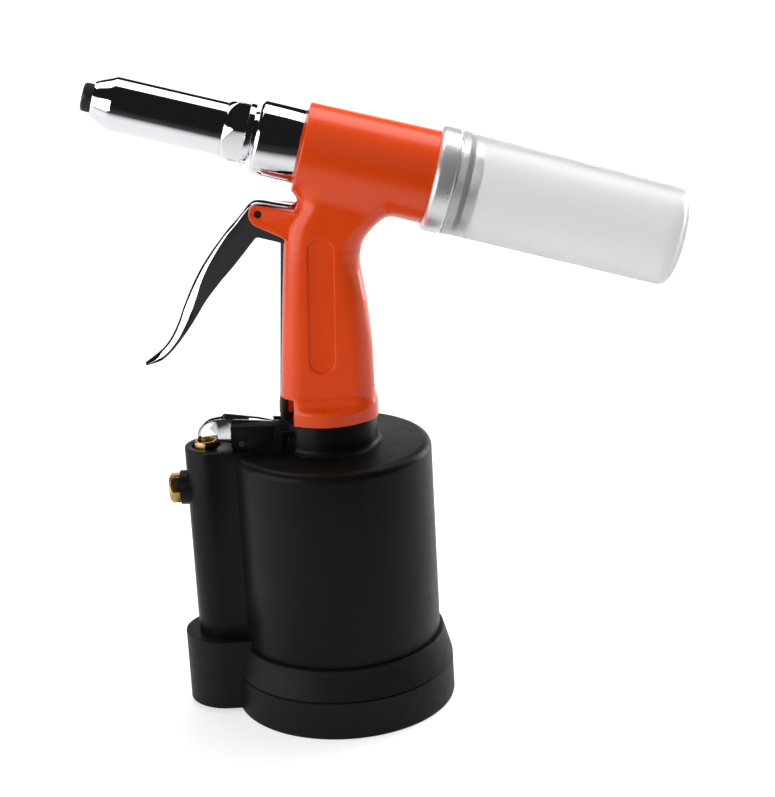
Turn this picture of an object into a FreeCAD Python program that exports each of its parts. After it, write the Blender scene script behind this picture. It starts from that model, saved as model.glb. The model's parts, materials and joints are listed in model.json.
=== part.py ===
import FreeCAD, Part
import math
import os
import Sketcher

# Pneumatic-hydraulic rivet gun, in millimetres.
# +Z is up along the air cylinder, -X is towards the nose, and the XZ plane is the plane of symmetry.
# The origin is the centre of the boot's flat underside, where the gun stands.
# Round pieces are turned about their own local Z. On the barrel, local Z runs rearward from the point
# where the barrel axis crosses the cylinder axis, so a piece's local heights are places along the barrel.

SIZES = {
    # places of the axes
    "barrel_height": 297.8, "barrel_tilt": 16.4, "bottle_droop": 1.0, "valve_place": -65.2,
    "inlet_height": 122.3,
    # clearances
    "running_gap": 0.05,
    # nosepiece and nose sleeve
    "nose_tip": -116.8, "mandrel_bore": 2.05, "nose_across": 14.1, "nose_corner": 8.15, "nose_bevel": 1.8,
    "nose_thread": 5.9, "nose_shoulder": -101.6, "nose_tail": 3.6, "nose_tail_end": -97.2,
    "sleeve_front": -111.6, "sleeve_front_radius": 8.9, "cone_end": -101.2, "sleeve_radius": 13.6,
    "sleeve_bore": 11.2, "sleeve_bore_start": -100.5, "sleeve_thread": 12.5, "flats_start": -45.6,
    "flats_end": -34.6, "flats_across": 28.8, "flats_corner": 16.6, "sleeve_rear": -31.6,
    "sleeve_collar": 15.9,
    # barrel head
    "head_front": -29.5, "head_radius": 18.8, "head_bevel": 1.6, "spigot_front": -45.0,
    "head_bore_end": -31.0, "rod_radius": 7.0, "head_rear": 3.0,
    # housing barrel
    "barrel_front": -6.5, "barrel_rear": 60.0, "barrel_front_radius": 22.9, "barrel_rear_radius": 23.7,
    "barrel_bore": 17.1, "barrel_edge": 1.2,
    # pull piston, jaws and their case
    "piston_front": 8.0, "piston_thick": 12.0, "piston_hub": 8.5, "piston_hub_long": 4.0,
    "rod_bore": 3.5, "rod_front": -61.0, "case_front": -98.0, "case_rear": -52.0, "case_radius": 10.6,
    "cone_start": -97.2, "cone_small": 4.63, "cone_stop": -80.0, "cone_large": 8.4,
    "jaw_front": -94.5, "jaw_rear": -81.5, "jaw_bore": 2.4, "jaw_clear": 0.35, "jaw_angle": 98.0,
    "pusher_front": -81.2, "pusher_flange": 8.1, "pusher_flange_front": -79.0,
    "pusher_flange_rear": -77.0, "pusher_tube": 5.2, "pusher_rear": -68.0,
    "jaw_spring_radius": 6.9, "jaw_spring_wire": 0.7, "return_spring_radius": 12.4,
    "return_spring_wire": 1.2, "tube_radius": 3.3, "tube_bore": 2.7, "tube_front": -8.0,
    "tube_rear": 72.0,
    # rear cap and bottle
    "cap_thread_front": 50.0, "cap_rear": 70.3, "cap_radius": 26.9, "cap_round": 3.0,
    "cap_bevel": 0.8, "socket_radius": 23.4, "socket_rear": 83.5, "socket_bore": 19.5,
    "socket_floor": 66.0, "bottle_ring_place": 76.6, "bottle_ring_wire": 1.2,
    "bottle_mouth": 71.0, "bottle_bead": 26.5, "bottle_bead_end": 73.6, "bottle_radius": 26.05,
    "bottle_end_radius": 25.15, "bottle_rear": 189.5, "bottle_round": 6.0, "bottle_bore": 24.05,
    "bottle_bore_end": 87.0, "bottle_wall": 2.1,
    # rings of round section
    "barrel_ring": 0.95, "rod_ring": 1.0,
    # grip: front, rear and half width at each level, from the collar up into the barrel
    "grip_low": 158.8, "grip_low_front": -25.4, "grip_low_rear": 24.1, "grip_mid": 205.0,
    "grip_mid_front": -21.5, "grip_mid_rear": 24.0, "grip_waist": 236.0, "grip_waist_front": -19.0,
    "grip_waist_rear": 20.2, "grip_flare": 250.0, "grip_flare_front": -17.8, "grip_flare_rear": 22.6,
    "grip_lip": 257.0, "grip_lip_front": -15.0, "grip_lip_rear": 29.5, "grip_under": 262.0,
    "grip_under_front": -11.5, "grip_under_rear": 38.0, "grip_top": 286.0, "grip_top_front": -9.5,
    "grip_top_rear": 42.0, "grip_half": 17.0, "grip_corner": 12.0, "collar_radius": 23.8,
    "collar_top": 165.5, "collar_blend": 170.5, "handle_spigot": 18.0, "handle_spigot_low": 146.2,
    "panel_low": 186.0, "panel_high": 256.0, "panel_radius": 6.6, "panel_lean": 2.4,
    "panel_deep": 0.8, "panel_place": -1.7, "ram_bore": 8.5, "ram_bore_top": 240.0,
    "oil_passage": 3.0, "oil_passage_place": 2.0,
    # trigger, its pins and rod
    "pivot_across": -29.4, "pivot_up": 268.5, "pivot_pin": 2.0, "ear_radius": 5.6,
    "ear_half": 9.0, "ear_gap_half": 5.7, "trigger_half": 5.3, "trigger_wall": 1.4,
    "link_across": -16.5, "link_up": 262.2, "link_pin": 1.5, "rod_wire": 2.2, "rod_low": 153.0,
    "rod_foot": 3.4, "rod_foot_thick": 1.6, "rod_eye": 3.9, "rod_eye_half": 2.6, "rod_lean": 3.85,
    "channel_half": 2.9, "pocket_low": 249.0, "pocket_rear": -9.0,
    # air cylinder
    "cylinder_radius": 52.0, "cylinder_bore": 47.5, "cylinder_low": 4.3, "cylinder_roof": 134.0,
    "cylinder_top": 143.3, "cylinder_round": 4.5, "neck_radius": 24.3, "neck_fillet": 3.2,
    "neck_top": 158.6, "neck_thread": 18.05, "neck_floor": 146.0, "bush_radius": 12.0,
    "clip_low": 6.4, "clip_high": 8.6, "clip_groove": 48.8, "clip_inner": 43.5,
    "cover_top": 15.0, "bumper_outer": 26.0, "bumper_inner": 16.0, "bumper_top": 21.7,
    "air_piston_low": 22.0, "air_piston_thick": 10.0, "air_piston_radius": 47.2,
    "air_ring": 1.8, "ram_radius": 8.0, "ram_tip": 152.0, "ram_stud": 5.0, "nut_across": 17.0,
    "nut_thick": 4.0, "bush_flange": 16.0, "bush_flange_low": 130.5, "bush_ring": 0.9,
    # valve block on the front of the cylinder
    "block_place": -61.4, "block_radius": 15.0, "block_low": 9.0, "block_top": 145.0,
    "block_inner": -40.0, "boss_radius": 9.0, "boss_end": -80.0, "valve_bore": 6.0,
    "inlet_thread": 6.65, "bracket_front": -51.0, "bracket_rear": -16.5, "near_cheek": -13.2,
    "far_cheek": 9.6, "near_cheek_top": 158.4, "far_cheek_top": 154.4, "screw_boss_front": -26.0,
    "screw_boss_face": -15.2, "screw_boss_top": 155.4, "guide_well": 7.6, "guide_well_floor": 143.0,
    "lever_gap_half": 5.6, "lever_gap_low": 144.3, "lever_gap_rear": -19.6, "window_deep": 1.3,
    "lever_across": -46.0, "lever_up": 148.6, "lever_pin": 1.6,
    "screw_across": -20.2, "screw_up": 149.6, "screw_radius": 2.5,
    # lever, chrome-plated pressing
    "lever_half": 4.7, "lever_nose_half": 2.0, "lever_wall": 1.4,
    # valve
    "guide_across": 10.9, "guide_top": 147.9, "guide_low": 134.0, "guide_mouth": 4.4,
    "guide_mouth_floor": 140.4, "stem_top": 145.9, "stem_head": 3.3, "stem_head_thick": 2.0,
    "stem_radius": 2.5, "stem_waist": 1.9, "stem_land": 3.6, "stem_low": 60.0,
    "valve_sleeve_low": 70.0, "valve_sleeve_top": 133.5, "valve_sleeve_bore": 3.85,
    "valve_ring": 0.5, "port_radius": 1.6, "valve_spring_radius": 3.6, "valve_spring_wire": 0.5,
    "plug_low": 9.4, "plug_top": 19.0,
    # air inlet bushing
    "inlet_across": 14.0, "inlet_end": -85.8, "inlet_seat": -80.2, "inlet_shank_end": -71.8,
    "inlet_bore": 4.35, "inlet_bore_end": -75.0, "inlet_hole": 3.2, "inlet_bevel": 1.7,
    # boot
    "boot_radius": 58.3, "boot_seam": 21.0, "boot_lip_radius": 54.2, "boot_lip": 37.2,
    "boot_floor": 4.1, "boot_edge": 1.5, "lobe_radius": 21.7, "lobe_place": -61.9,
    "lobe_low": 3.6, "lobe_top": 41.7, "boot_gap": 0.15,
}


class Size:
    """A length together with the spreadsheet expression it comes from, so that sums stay linked."""

    def __init__(self, value, text):
        self.value = value
        self.text = text

    def __add__(self, other):
        other = size_of(other)
        return Size(self.value + other.value, f"({self.text} + {other.text})")

    def __sub__(self, other):
        other = size_of(other)
        return Size(self.value - other.value, f"({self.text} - {other.text})")

    def __mul__(self, other):
        other = size_of(other)
        return Size(self.value * other.value, f"({self.text} * {other.text})")

    def __truediv__(self, other):
        other = size_of(other)
        return Size(self.value / other.value, f"({self.text} / {other.text})")

    def __neg__(self):
        return self * -1

    __radd__ = __add__

    def __rsub__(self, other):
        return size_of(other) - self


def size_of(number):
    return number if isinstance(number, Size) else Size(number, repr(number))


class Cells:
    """Reads a cell of the spreadsheet by its alias."""

    def __getattr__(self, alias):
        return Size(SIZES[alias], "sizes." + alias)


D = Cells()
V = FreeCAD.Vector
PARTS = []

os.makedirs("parts", exist_ok=True)
doc = FreeCAD.newDocument("rivet_gun")
sheet = doc.addObject("Spreadsheet::Sheet", "sizes")
for row, (alias, value) in enumerate(SIZES.items(), start=1):
    sheet.set(f"A{row}", alias)
    sheet.set(f"B{row}", str(value))
    sheet.setAlias(f"B{row}", alias)
doc.recompute()

# ---------------------------------------------------------------- frames


def turned(axis, angle, at=(0, 0, 0)):
    return FreeCAD.Placement(V(*at), FreeCAD.Rotation(V(*axis), angle))


UPRIGHT = FreeCAD.Placement()
BARREL = turned((0, 1, 0), 90 + SIZES["barrel_tilt"], (0, 0, SIZES["barrel_height"]))
BOTTLE = (
    BARREL
    * turned((0, 1, 0), SIZES["bottle_droop"], (0, 0, SIZES["bottle_ring_place"]))
    * turned((0, 1, 0), 0, (0, 0, -SIZES["bottle_ring_place"]))
)
VALVE = turned((0, 1, 0), 0, (SIZES["valve_place"], 0, 0))
INLET = turned((0, 1, 0), -90, (0, 0, SIZES["inlet_height"]))


def crosswise(across, up):
    """Local Z along +Y, through a point of the plane of symmetry."""
    return turned((1, 0, 0), -90, (across.value, 0, up.value))


# ---------------------------------------------------------------- drawing and building


def bind(thing, **sizes):
    """Sets properties of a primitive or feature, linked to the spreadsheet."""
    for name, size in sizes.items():
        size = size_of(size)
        setattr(thing, name, size.value)
        thing.setExpression(name, size.text)
    return thing


def arc_between(start, end, radius):
    """The arc of this radius from start to end: it turns left when the radius is positive."""
    chord = end - start
    half = chord.Length / 2
    away = math.sqrt(max(radius * radius - half * half, 0.0))
    left = V(-chord.y, chord.x, 0).normalize()
    centre = (start + end) * 0.5 + left * (away if radius > 0 else -away)
    first, last = (start, end) if radius > 0 else (end, start)
    begin = math.atan2(first.y - centre.y, first.x - centre.x)
    finish = math.atan2(last.y - centre.y, last.x - centre.x)
    if finish < begin:
        finish += 2 * math.pi
    return Part.ArcOfCircle(Part.Circle(centre, V(0, 0, 1), abs(radius)), begin, finish)


def draw(body, plane, points, height=None):
    """A closed sketch on one of the body's origin planes, through points (across, up).

    A third number is the radius of the arc that leads on to the next point.
    """
    sketch = body.newObject("Sketcher::SketchObject", body.Name + "_outline")
    origin = next(o for o in body.Origin.OriginFeatures if o.Role == plane)
    sketch.AttachmentSupport = [(origin, "")]
    sketch.MapMode = "FlatFace"
    if height is not None:
        sketch.setExpression("AttachmentOffset.Base.z", size_of(height).text)
    corners = [(size_of(p[0]), size_of(p[1])) for p in points]
    spots = [V(x.value, y.value, 0) for x, y in corners]
    begins = []
    ends = []
    for index, point in enumerate(points):
        start = spots[index]
        end = spots[(index + 1) % len(spots)]
        if len(point) == 2:
            sketch.addGeometry(Part.LineSegment(start, end), False)
            turns_left = True
        else:
            radius = size_of(point[2])
            sketch.addGeometry(arc_between(start, end, radius.value), False)
            turns_left = radius.value > 0
            limit = sketch.addConstraint(Sketcher.Constraint("Radius", index, abs(radius.value)))
            sketch.setExpression(f"Constraints[{limit}]", f"abs({radius.text})")
        begins.append(1 if turns_left else 2)
        ends.append(2 if turns_left else 1)
    for index in range(len(points)):
        after = (index + 1) % len(points)
        sketch.addConstraint(
            Sketcher.Constraint("Coincident", index, ends[index], after, begins[after])
        )
        for kind, size in zip(("DistanceX", "DistanceY"), corners[index]):
            limit = sketch.addConstraint(
                Sketcher.Constraint(kind, -1, 1, index, begins[index], size.value)
            )
            sketch.setExpression(f"Constraints[{limit}]", size.text)
    return sketch


def new_body(name, place):
    body = doc.addObject("PartDesign::Body", name)
    body.Placement = place
    return body


def lathe(name, points, place=UPRIGHT, angle=360):
    """A turned piece: the outline (radius, height) swept about local Z."""
    body = new_body(name, place)
    sketch = draw(body, "XZ_Plane", points)
    turn = body.newObject("PartDesign::Revolution", name + "_turn")
    turn.Profile = sketch
    turn.ReferenceAxis = (sketch, ["V_Axis"])
    turn.Midplane = True
    bind(turn, Angle=angle)
    return body


def slab(name, points, half, place=UPRIGHT):
    """A plate cut to an outline (across, up) in the XZ plane, as thick on each side of it as half."""
    body = new_body(name, place)
    sketch = draw(body, "XZ_Plane", points)
    pad = body.newObject("PartDesign::Pad", name + "_pad")
    pad.Profile = sketch
    pad.Midplane = True
    bind(pad, Length=size_of(half) * 2)
    return body


def column(name, points, low, high, place=UPRIGHT):
    """A prism that stands on an outline in the XY plane."""
    body = new_body(name, place)
    sketch = draw(body, "XY_Plane", points, low)
    pad = body.newObject("PartDesign::Pad", name + "_pad")
    pad.Profile = sketch
    bind(pad, Length=size_of(high) - low)
    return body


def tube(name, outer, inner, low, high, place=UPRIGHT):
    return lathe(name, [(inner, low), (outer, low), (outer, high), (inner, high)], place)


def rod(name, radius, low, high, place=UPRIGHT):
    piece = bind(doc.addObject("Part::Cylinder", name), Radius=radius, Height=size_of(high) - low)
    piece.Placement = place * turned((0, 0, 1), 0, (0, 0, size_of(low).value))
    return piece


def block(name, across, thick, up, place=UPRIGHT):
    """A box between two places on each axis, each given as a pair."""
    piece = doc.addObject("Part::Box", name)
    pairs = [(size_of(a), size_of(b)) for a, b in (across, thick, up)]
    bind(piece, **{k: b - a for k, (a, b) in zip(("Length", "Width", "Height"), pairs)})
    piece.Placement = place * turned((0, 0, 1), 0, [a.value for a, b in pairs])
    return piece


def both_sides(half):
    return (-size_of(half), size_of(half))


def ring(name, radius, wire, height, place=UPRIGHT):
    """A seal of round section."""
    piece = bind(doc.addObject("Part::Torus", name), Radius1=radius, Radius2=wire)
    piece.Placement = place * turned((0, 0, 1), 0, (0, 0, size_of(height).value))
    return piece


def joined(name, pieces):
    whole = doc.addObject("Part::MultiFuse", name)
    whole.Shapes = pieces
    whole.Refine = True
    return whole


def without(name, base, tools, place=UPRIGHT):
    """The base with every tool cut away."""
    rest = doc.addObject("Part::Cut", name)
    rest.Base = base
    rest.Tool = tools[0] if len(tools) == 1 else joined(name + "_tools", tools)
    rest.Placement = place
    return rest


def with_flats(name, base, across, low, high, place=UPRIGHT, turn=0):
    """The turned base with six flats milled between two heights."""
    across = size_of(across)
    prism = doc.addObject("Part::Prism", name + "_hexagon")
    prism.Polygon = 6
    bind(prism, Circumradius=across / math.sqrt(3), Height=size_of(high) - low)
    prism.Placement = turned((0, 0, 1), turn, (0, 0, size_of(low).value))
    round_bar = rod(name + "_bar", across, low, high)
    waste = without(name + "_waste", round_bar, [prism])
    return without(name, base, [waste], place)


def coil(name, radius, wire, low, high, turns, place=UPRIGHT):
    """A compression spring between two heights, its wire's centre line a helix."""
    radius, wire, low, high = (size_of(size) for size in (radius, wire, low, high))
    rise = high - low - wire * 2
    spine = doc.addObject("Part::Helix", name + "_spine")
    bind(spine, Radius=radius, Height=rise, Pitch=rise / turns)
    section = bind(doc.addObject("Part::Circle", name + "_section"), Radius=wire)
    section.Placement = turned((1, 0, 0), 90, (radius.value, 0, 0))
    spring = doc.addObject("Part::Sweep", name)
    spring.Sections = [section]
    spring.Spine = (spine, ["Edge1"])
    spring.Solid = True
    spring.Frenet = True
    doc.recompute()
    spring.Placement = place * turned((0, 0, 1), 0, (0, 0, low.value + wire.value))
    return spring


def groove(inner, outer, low, high):
    """The four points of a ring groove that opens inward or outward, walked upward."""
    return [(inner, low), (outer, low), (outer, high), (inner, high)]


def groove_down(inner, outer, low, high):
    """The same groove, walked downward."""
    return list(reversed(groove(inner, outer, low, high)))


def keep(piece, label):
    """Makes a piece a sub-part of the gun: its label names its file."""
    piece.Label = label
    PARTS.append(piece)
    return piece


# ---------------------------------------------------------------- nose, jaws and pull rod

RING_SLACK = 0.15  # a groove is this much wider than its ring on each side


def make_nosepiece():
    bevel_end = D.nose_tip + D.nose_bevel
    turned_piece = lathe("nosepiece_turned", [
        (D.mandrel_bore, D.nose_tip), (D.nose_corner - D.nose_bevel, D.nose_tip),
        (D.nose_corner, bevel_end), (D.nose_corner, D.sleeve_front), (D.nose_thread, D.sleeve_front),
        (D.nose_thread, D.nose_shoulder), (D.nose_tail, D.nose_shoulder),
        (D.nose_tail, D.nose_tail_end), (D.mandrel_bore, D.nose_tail_end),
    ])
    piece = with_flats("nosepiece_piece", turned_piece, D.nose_across, D.nose_tip, D.sleeve_front,
                       BARREL, 15)
    keep(piece, "nosepiece")


def make_nose_sleeve():
    bevel = D.flats_corner - D.sleeve_radius - 0.3
    turned_piece = lathe("nose_sleeve_turned", [
        (D.nose_thread + D.running_gap, D.sleeve_front), (D.sleeve_front_radius, D.sleeve_front),
        (D.sleeve_radius, D.cone_end), (D.sleeve_radius, D.flats_start),
        (D.sleeve_radius + 0.3, D.flats_start), (D.flats_corner, D.flats_start + bevel * 1.8),
        (D.flats_corner, D.flats_end), (D.sleeve_collar, D.flats_end),
        (D.sleeve_collar, D.sleeve_rear), (D.sleeve_thread, D.sleeve_rear),
        (D.sleeve_thread, D.spigot_front - 0.5), (D.sleeve_bore, D.spigot_front - 0.5),
        (D.sleeve_bore, D.sleeve_bore_start), (D.nose_thread + D.running_gap, D.sleeve_bore_start),
    ])
    piece = with_flats("nose_sleeve_piece", turned_piece, D.flats_across, D.flats_start,
                       D.flats_end, BARREL, 15.8)
    keep(piece, "nose_sleeve")


def make_barrel_head():
    guide = D.rod_radius + D.running_gap
    seal_low = D.head_front + 10
    seal_high = seal_low + (D.rod_ring + RING_SLACK) * 2
    front_low = D.barrel_front + 4
    front_high = front_low + (D.barrel_ring + RING_SLACK) * 2
    thread = D.barrel_bore - D.running_gap
    head = lathe("barrel_head_body", [
        (D.sleeve_bore, D.spigot_front), (D.sleeve_thread - D.running_gap, D.spigot_front),
        (D.sleeve_thread - D.running_gap, D.head_front), (D.head_radius - D.head_bevel, D.head_front),
        (D.head_radius, D.head_front + D.head_bevel), (D.head_radius, D.barrel_front),
        (thread, D.barrel_front),
        *groove(thread, D.barrel_bore - D.barrel_ring * 2 - 0.1, front_low, front_high),
        (thread, D.head_rear), (guide, D.head_rear),
        *groove_down(guide, D.rod_radius + D.rod_ring * 2 + 0.15, seal_low, seal_high),
        (guide, D.head_bore_end), (D.sleeve_bore, D.head_bore_end),
    ], BARREL)
    keep(head, "barrel_head")
    seal = ring("rod_seal_ring", D.rod_radius + D.rod_ring + 0.08, D.rod_ring,
                (seal_low + seal_high) / 2, BARREL)
    keep(seal, "pull_rod_seal")
    front_seal = ring("head_seal_ring", D.barrel_bore - D.barrel_ring - 0.04, D.barrel_ring,
                      (front_low + front_high) / 2, BARREL)
    keep(front_seal, "head_seal")


def make_jaw_case():
    front_edge = 2.0
    case = lathe("jaw_case_body", [
        (D.cone_small, D.case_front), (D.case_radius - front_edge, D.case_front),
        (D.case_radius, D.case_front + front_edge), (D.case_radius, D.case_rear),
        (D.rod_radius, D.case_rear), (D.rod_radius, D.rod_front), (D.cone_large, D.rod_front),
        (D.cone_large, D.cone_stop), (D.cone_small, D.cone_start),
    ], BARREL)
    keep(case, "jaw_case")


def make_jaws():
    slope = (D.cone_large - D.cone_small) / (D.cone_stop - D.cone_start)

    def flank(place):
        return D.cone_small + slope * (place - D.cone_start) - D.jaw_clear

    for number in range(3):
        jaw = lathe(f"jaw_body_{number + 1}", [
            (D.jaw_bore, D.jaw_front), (flank(D.jaw_front), D.jaw_front),
            (flank(D.jaw_rear), D.jaw_rear), (D.jaw_bore + 1.4, D.jaw_rear),
            (D.jaw_bore, D.jaw_rear - 1.2),
        ], BARREL * turned((0, 0, 1), 120 * number), D.jaw_angle)
        keep(jaw, f"jaw_{number + 1}")


def make_jaw_pusher():
    pusher = lathe("jaw_pusher_body", [
        (D.rod_bore, D.pusher_front), (D.pusher_tube, D.pusher_front),
        (D.pusher_flange, D.pusher_flange_front), (D.pusher_flange, D.pusher_flange_rear),
        (D.pusher_tube, D.pusher_flange_rear), (D.pusher_tube, D.pusher_rear),
        (D.rod_bore, D.pusher_rear),
    ], BARREL)
    keep(pusher, "jaw_pusher")
    spring = coil("jaw_spring_coil", D.jaw_spring_radius, D.jaw_spring_wire, D.pusher_flange_rear,
                  D.rod_front, 5, BARREL)
    keep(spring, "jaw_spring")


def make_pull_piston():
    rear = D.piston_front + D.piston_thick
    ring_low = D.piston_front + 4.8
    ring_high = ring_low + (D.barrel_ring + RING_SLACK) * 2
    skirt = D.barrel_bore - 0.1
    piston = lathe("pull_piston_body", [
        (D.rod_bore, D.rod_front), (D.rod_radius, D.rod_front), (D.rod_radius, D.piston_front),
        (skirt, D.piston_front),
        *groove(skirt, D.barrel_bore - D.barrel_ring * 2 - 0.15, ring_low, ring_high),
        (skirt, rear), (D.piston_hub, rear), (D.piston_hub, rear + D.piston_hub_long),
        (D.rod_bore, rear + D.piston_hub_long),
    ], BARREL)
    keep(piston, "pull_piston")
    seal = ring("pull_piston_ring", D.barrel_bore - D.barrel_ring - 0.05, D.barrel_ring,
                (ring_low + ring_high) / 2, BARREL)
    keep(seal, "pull_piston_seal")
    spring = coil("return_spring_coil", D.return_spring_radius, D.return_spring_wire, rear,
                  D.cap_thread_front, 4.5, BARREL)
    keep(spring, "return_spring")


def make_mandrel_tube():
    pipe = tube("mandrel_tube_body", D.tube_radius, D.tube_bore, D.tube_front, D.tube_rear, BARREL)
    keep(pipe, "mandrel_tube")


# ---------------------------------------------------------------- rear cap and bottle


def make_rear_cap():
    thread = D.barrel_bore - D.running_gap
    ring_low = D.cap_thread_front + 1.6
    ring_high = ring_low + (D.barrel_ring + RING_SLACK) * 2
    bottle_low = D.bottle_ring_place - D.bottle_ring_wire - RING_SLACK
    bottle_high = D.bottle_ring_place + D.bottle_ring_wire + RING_SLACK
    cap = lathe("rear_cap_body", [
        (D.tube_radius, D.cap_thread_front), (thread, D.cap_thread_front),
        *groove(thread, D.barrel_bore - D.barrel_ring * 2 - 0.1, ring_low, ring_high),
        (thread, D.barrel_rear), (D.cap_radius - D.cap_round, D.barrel_rear, D.cap_round),
        (D.cap_radius, D.barrel_rear + D.cap_round), (D.cap_radius, D.cap_rear - D.cap_bevel),
        (D.cap_radius - D.cap_bevel, D.cap_rear), (D.socket_radius, D.cap_rear),
        *groove(D.socket_radius, D.bottle_bore - D.bottle_ring_wire * 2 - 0.2,
                bottle_low, bottle_high),
        (D.socket_radius, D.socket_rear - 1), (D.socket_radius - 1, D.socket_rear),
        (D.socket_bore, D.socket_rear), (D.socket_bore, D.socket_floor),
        (D.tube_radius, D.socket_floor),
    ], BARREL)
    keep(cap, "rear_cap")
    seal = ring("rear_cap_ring", D.barrel_bore - D.barrel_ring - 0.04, D.barrel_ring,
                (ring_low + ring_high) / 2, BARREL)
    keep(seal, "rear_cap_seal")
    grip_ring = ring("bottle_ring_body", D.bottle_bore - D.bottle_ring_wire - 0.05,
                     D.bottle_ring_wire, D.bottle_ring_place, BARREL)
    keep(grip_ring, "bottle_ring")


def make_mandrel_bottle():
    shoulder = D.bottle_rear - D.bottle_round
    floor = D.bottle_rear - D.bottle_wall
    inner_round = D.bottle_round - D.bottle_wall
    inner_end = D.bottle_end_radius - D.bottle_wall
    bottle = lathe("mandrel_bottle_body", [
        (D.bottle_bore, D.bottle_mouth), (D.bottle_bead, D.bottle_mouth),
        (D.bottle_bead, D.bottle_bead_end), (D.bottle_radius, D.bottle_bead_end + 0.8),
        (D.bottle_end_radius, shoulder, D.bottle_round),
        (D.bottle_end_radius - D.bottle_round, D.bottle_rear), (0, D.bottle_rear), (0, floor),
        (inner_end - inner_round, floor, -inner_round), (inner_end, shoulder),
        (D.bottle_bore, D.bottle_bore_end),
    ], BOTTLE)
    keep(bottle, "mandrel_bottle")


# ---------------------------------------------------------------- handle housing


def rounded_section(front, rear, half, corner):
    return [
        (front + corner, -half), (rear - corner, -half, corner), (rear, -half + corner),
        (rear, half - corner, corner), (rear - corner, half), (front + corner, half, corner),
        (front, half - corner), (front, -half + corner, corner),
    ]


def make_grip():
    """The grip, lofted through rounded sections that lean with the hand and flare into the barrel."""
    body = new_body("grip", UPRIGHT)
    levels = [
        (D.grip_low, D.grip_low_front, D.grip_low_rear),
        (D.grip_mid, D.grip_mid_front, D.grip_mid_rear),
        (D.grip_waist, D.grip_waist_front, D.grip_waist_rear),
        (D.grip_flare, D.grip_flare_front, D.grip_flare_rear),
        (D.grip_lip, D.grip_lip_front, D.grip_lip_rear),
        (D.grip_under, D.grip_under_front, D.grip_under_rear),
        (D.grip_top, D.grip_top_front, D.grip_top_rear),
    ]
    sections = [
        draw(body, "XY_Plane", rounded_section(front, rear, D.grip_half, D.grip_corner), height)
        for height, front, rear in levels
    ]
    loft = body.newObject("PartDesign::AdditiveLoft", "grip_loft")
    loft.Profile = sections[0]
    loft.Sections = sections[1:]
    loft.Ruled = True
    return body


def panel_cutter(name, side):
    """A shallow racetrack that is sunk into one side of the grip."""
    low, high, place = D.panel_low, D.panel_high, D.panel_place
    radius = D.panel_radius
    points = [
        (place + radius, low + radius), (place + radius + D.panel_lean, high - radius, radius),
        (place + D.panel_lean, high, radius), (place - radius + D.panel_lean, high - radius),
        (place - radius, low + radius, radius), (place, low, radius),
    ]
    cutter = slab(name, points, D.panel_deep)
    cutter.Placement = turned((0, 1, 0), 0, (0, side * SIZES["grip_half"], 0))
    return cutter


def make_handle_housing():
    barrel = lathe("housing_barrel", [
        (0, D.barrel_front), (D.barrel_front_radius - D.barrel_edge, D.barrel_front, D.barrel_edge),
        (D.barrel_front_radius, D.barrel_front + D.barrel_edge),
        (D.barrel_rear_radius, D.barrel_rear), (0, D.barrel_rear),
    ], BARREL)
    collar = lathe("housing_collar", [
        (0, D.handle_spigot_low), (D.handle_spigot, D.handle_spigot_low),
        (D.handle_spigot, D.grip_low), (D.collar_radius, D.grip_low),
        (D.collar_radius, D.collar_top), (D.collar_radius - 6, D.collar_blend),
        (0, D.collar_blend),
    ])
    ear_rear = D.pocket_rear + 4
    ears = slab("housing_ears", [
        (D.pivot_across - 3.4, D.pivot_up - 4.9), (D.pivot_across + 12.2, D.pivot_up - 13.0),
        (D.pivot_across + 12.2, D.grip_flare), (ear_rear, D.grip_flare),
        (ear_rear, D.pivot_up + 4), (D.pivot_across + 17.4, D.pivot_up + 2.4),
        (D.pivot_across + 1.0, D.pivot_up + 5.8, D.ear_radius),
        (D.pivot_across - D.ear_radius, D.pivot_up, D.ear_radius),
    ], D.ear_half)
    whole = joined("housing_whole", [barrel, make_grip(), collar, ears])

    lean = turned((0, 1, 0), SIZES["rod_lean"], (SIZES["link_across"], 0, SIZES["link_up"]))
    rod_back = D.rod_wire + 0.8
    channel_low = D.rod_low - D.link_up
    tools = [
        rod("barrel_bore_tool", D.barrel_bore, D.barrel_front - 1, D.barrel_rear + 1, BARREL),
        rod("ram_bore_tool", D.ram_bore, D.handle_spigot_low - 1, D.ram_bore_top),
        rod("oil_passage_tool", D.oil_passage, D.ram_bore_top - 2, D.barrel_height - 12,
            turned((0, 0, 1), 0, (SIZES["oil_passage_place"], 0, 0))),
        block("rod_channel_tool", (-8, rod_back), both_sides(D.channel_half), (channel_low, 2), lean),
        block("trigger_pocket_tool", (D.pivot_across - 12, D.pocket_rear),
              both_sides(D.ear_gap_half), (D.pocket_low, D.pivot_up + 9)),
        block("collar_notch_tool", (-D.collar_radius - 3, -D.handle_spigot - 0.6),
              both_sides(D.lever_gap_half), (D.grip_low - 1, D.collar_blend)),
        rod("pivot_hole_tool", D.pivot_pin, -D.ear_half - 1, D.ear_half + 1,
            crosswise(D.pivot_across, D.pivot_up)),
        rod("oil_hole_tool", OIL_THREAD, 0, D.grip_half + 1, crosswise(D.oil_passage_place, OIL_UP)),
        rod("oil_seat_tool", OIL_HEAD, D.grip_half - OIL_SEAT, D.grip_half + 1,
            crosswise(D.oil_passage_place, OIL_UP)),
        panel_cutter("near_panel_tool", -1),
        panel_cutter("far_panel_tool", 1),
    ]
    keep(without("handle_housing_piece", whole, tools), "handle_housing")


# the oil filling plug on the far side of the grip, where it opens into the oil passage
OIL_THREAD = 2.5
OIL_HEAD = 4.6
OIL_SEAT = 1.0
OIL_UP = D.pocket_low - 3


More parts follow.
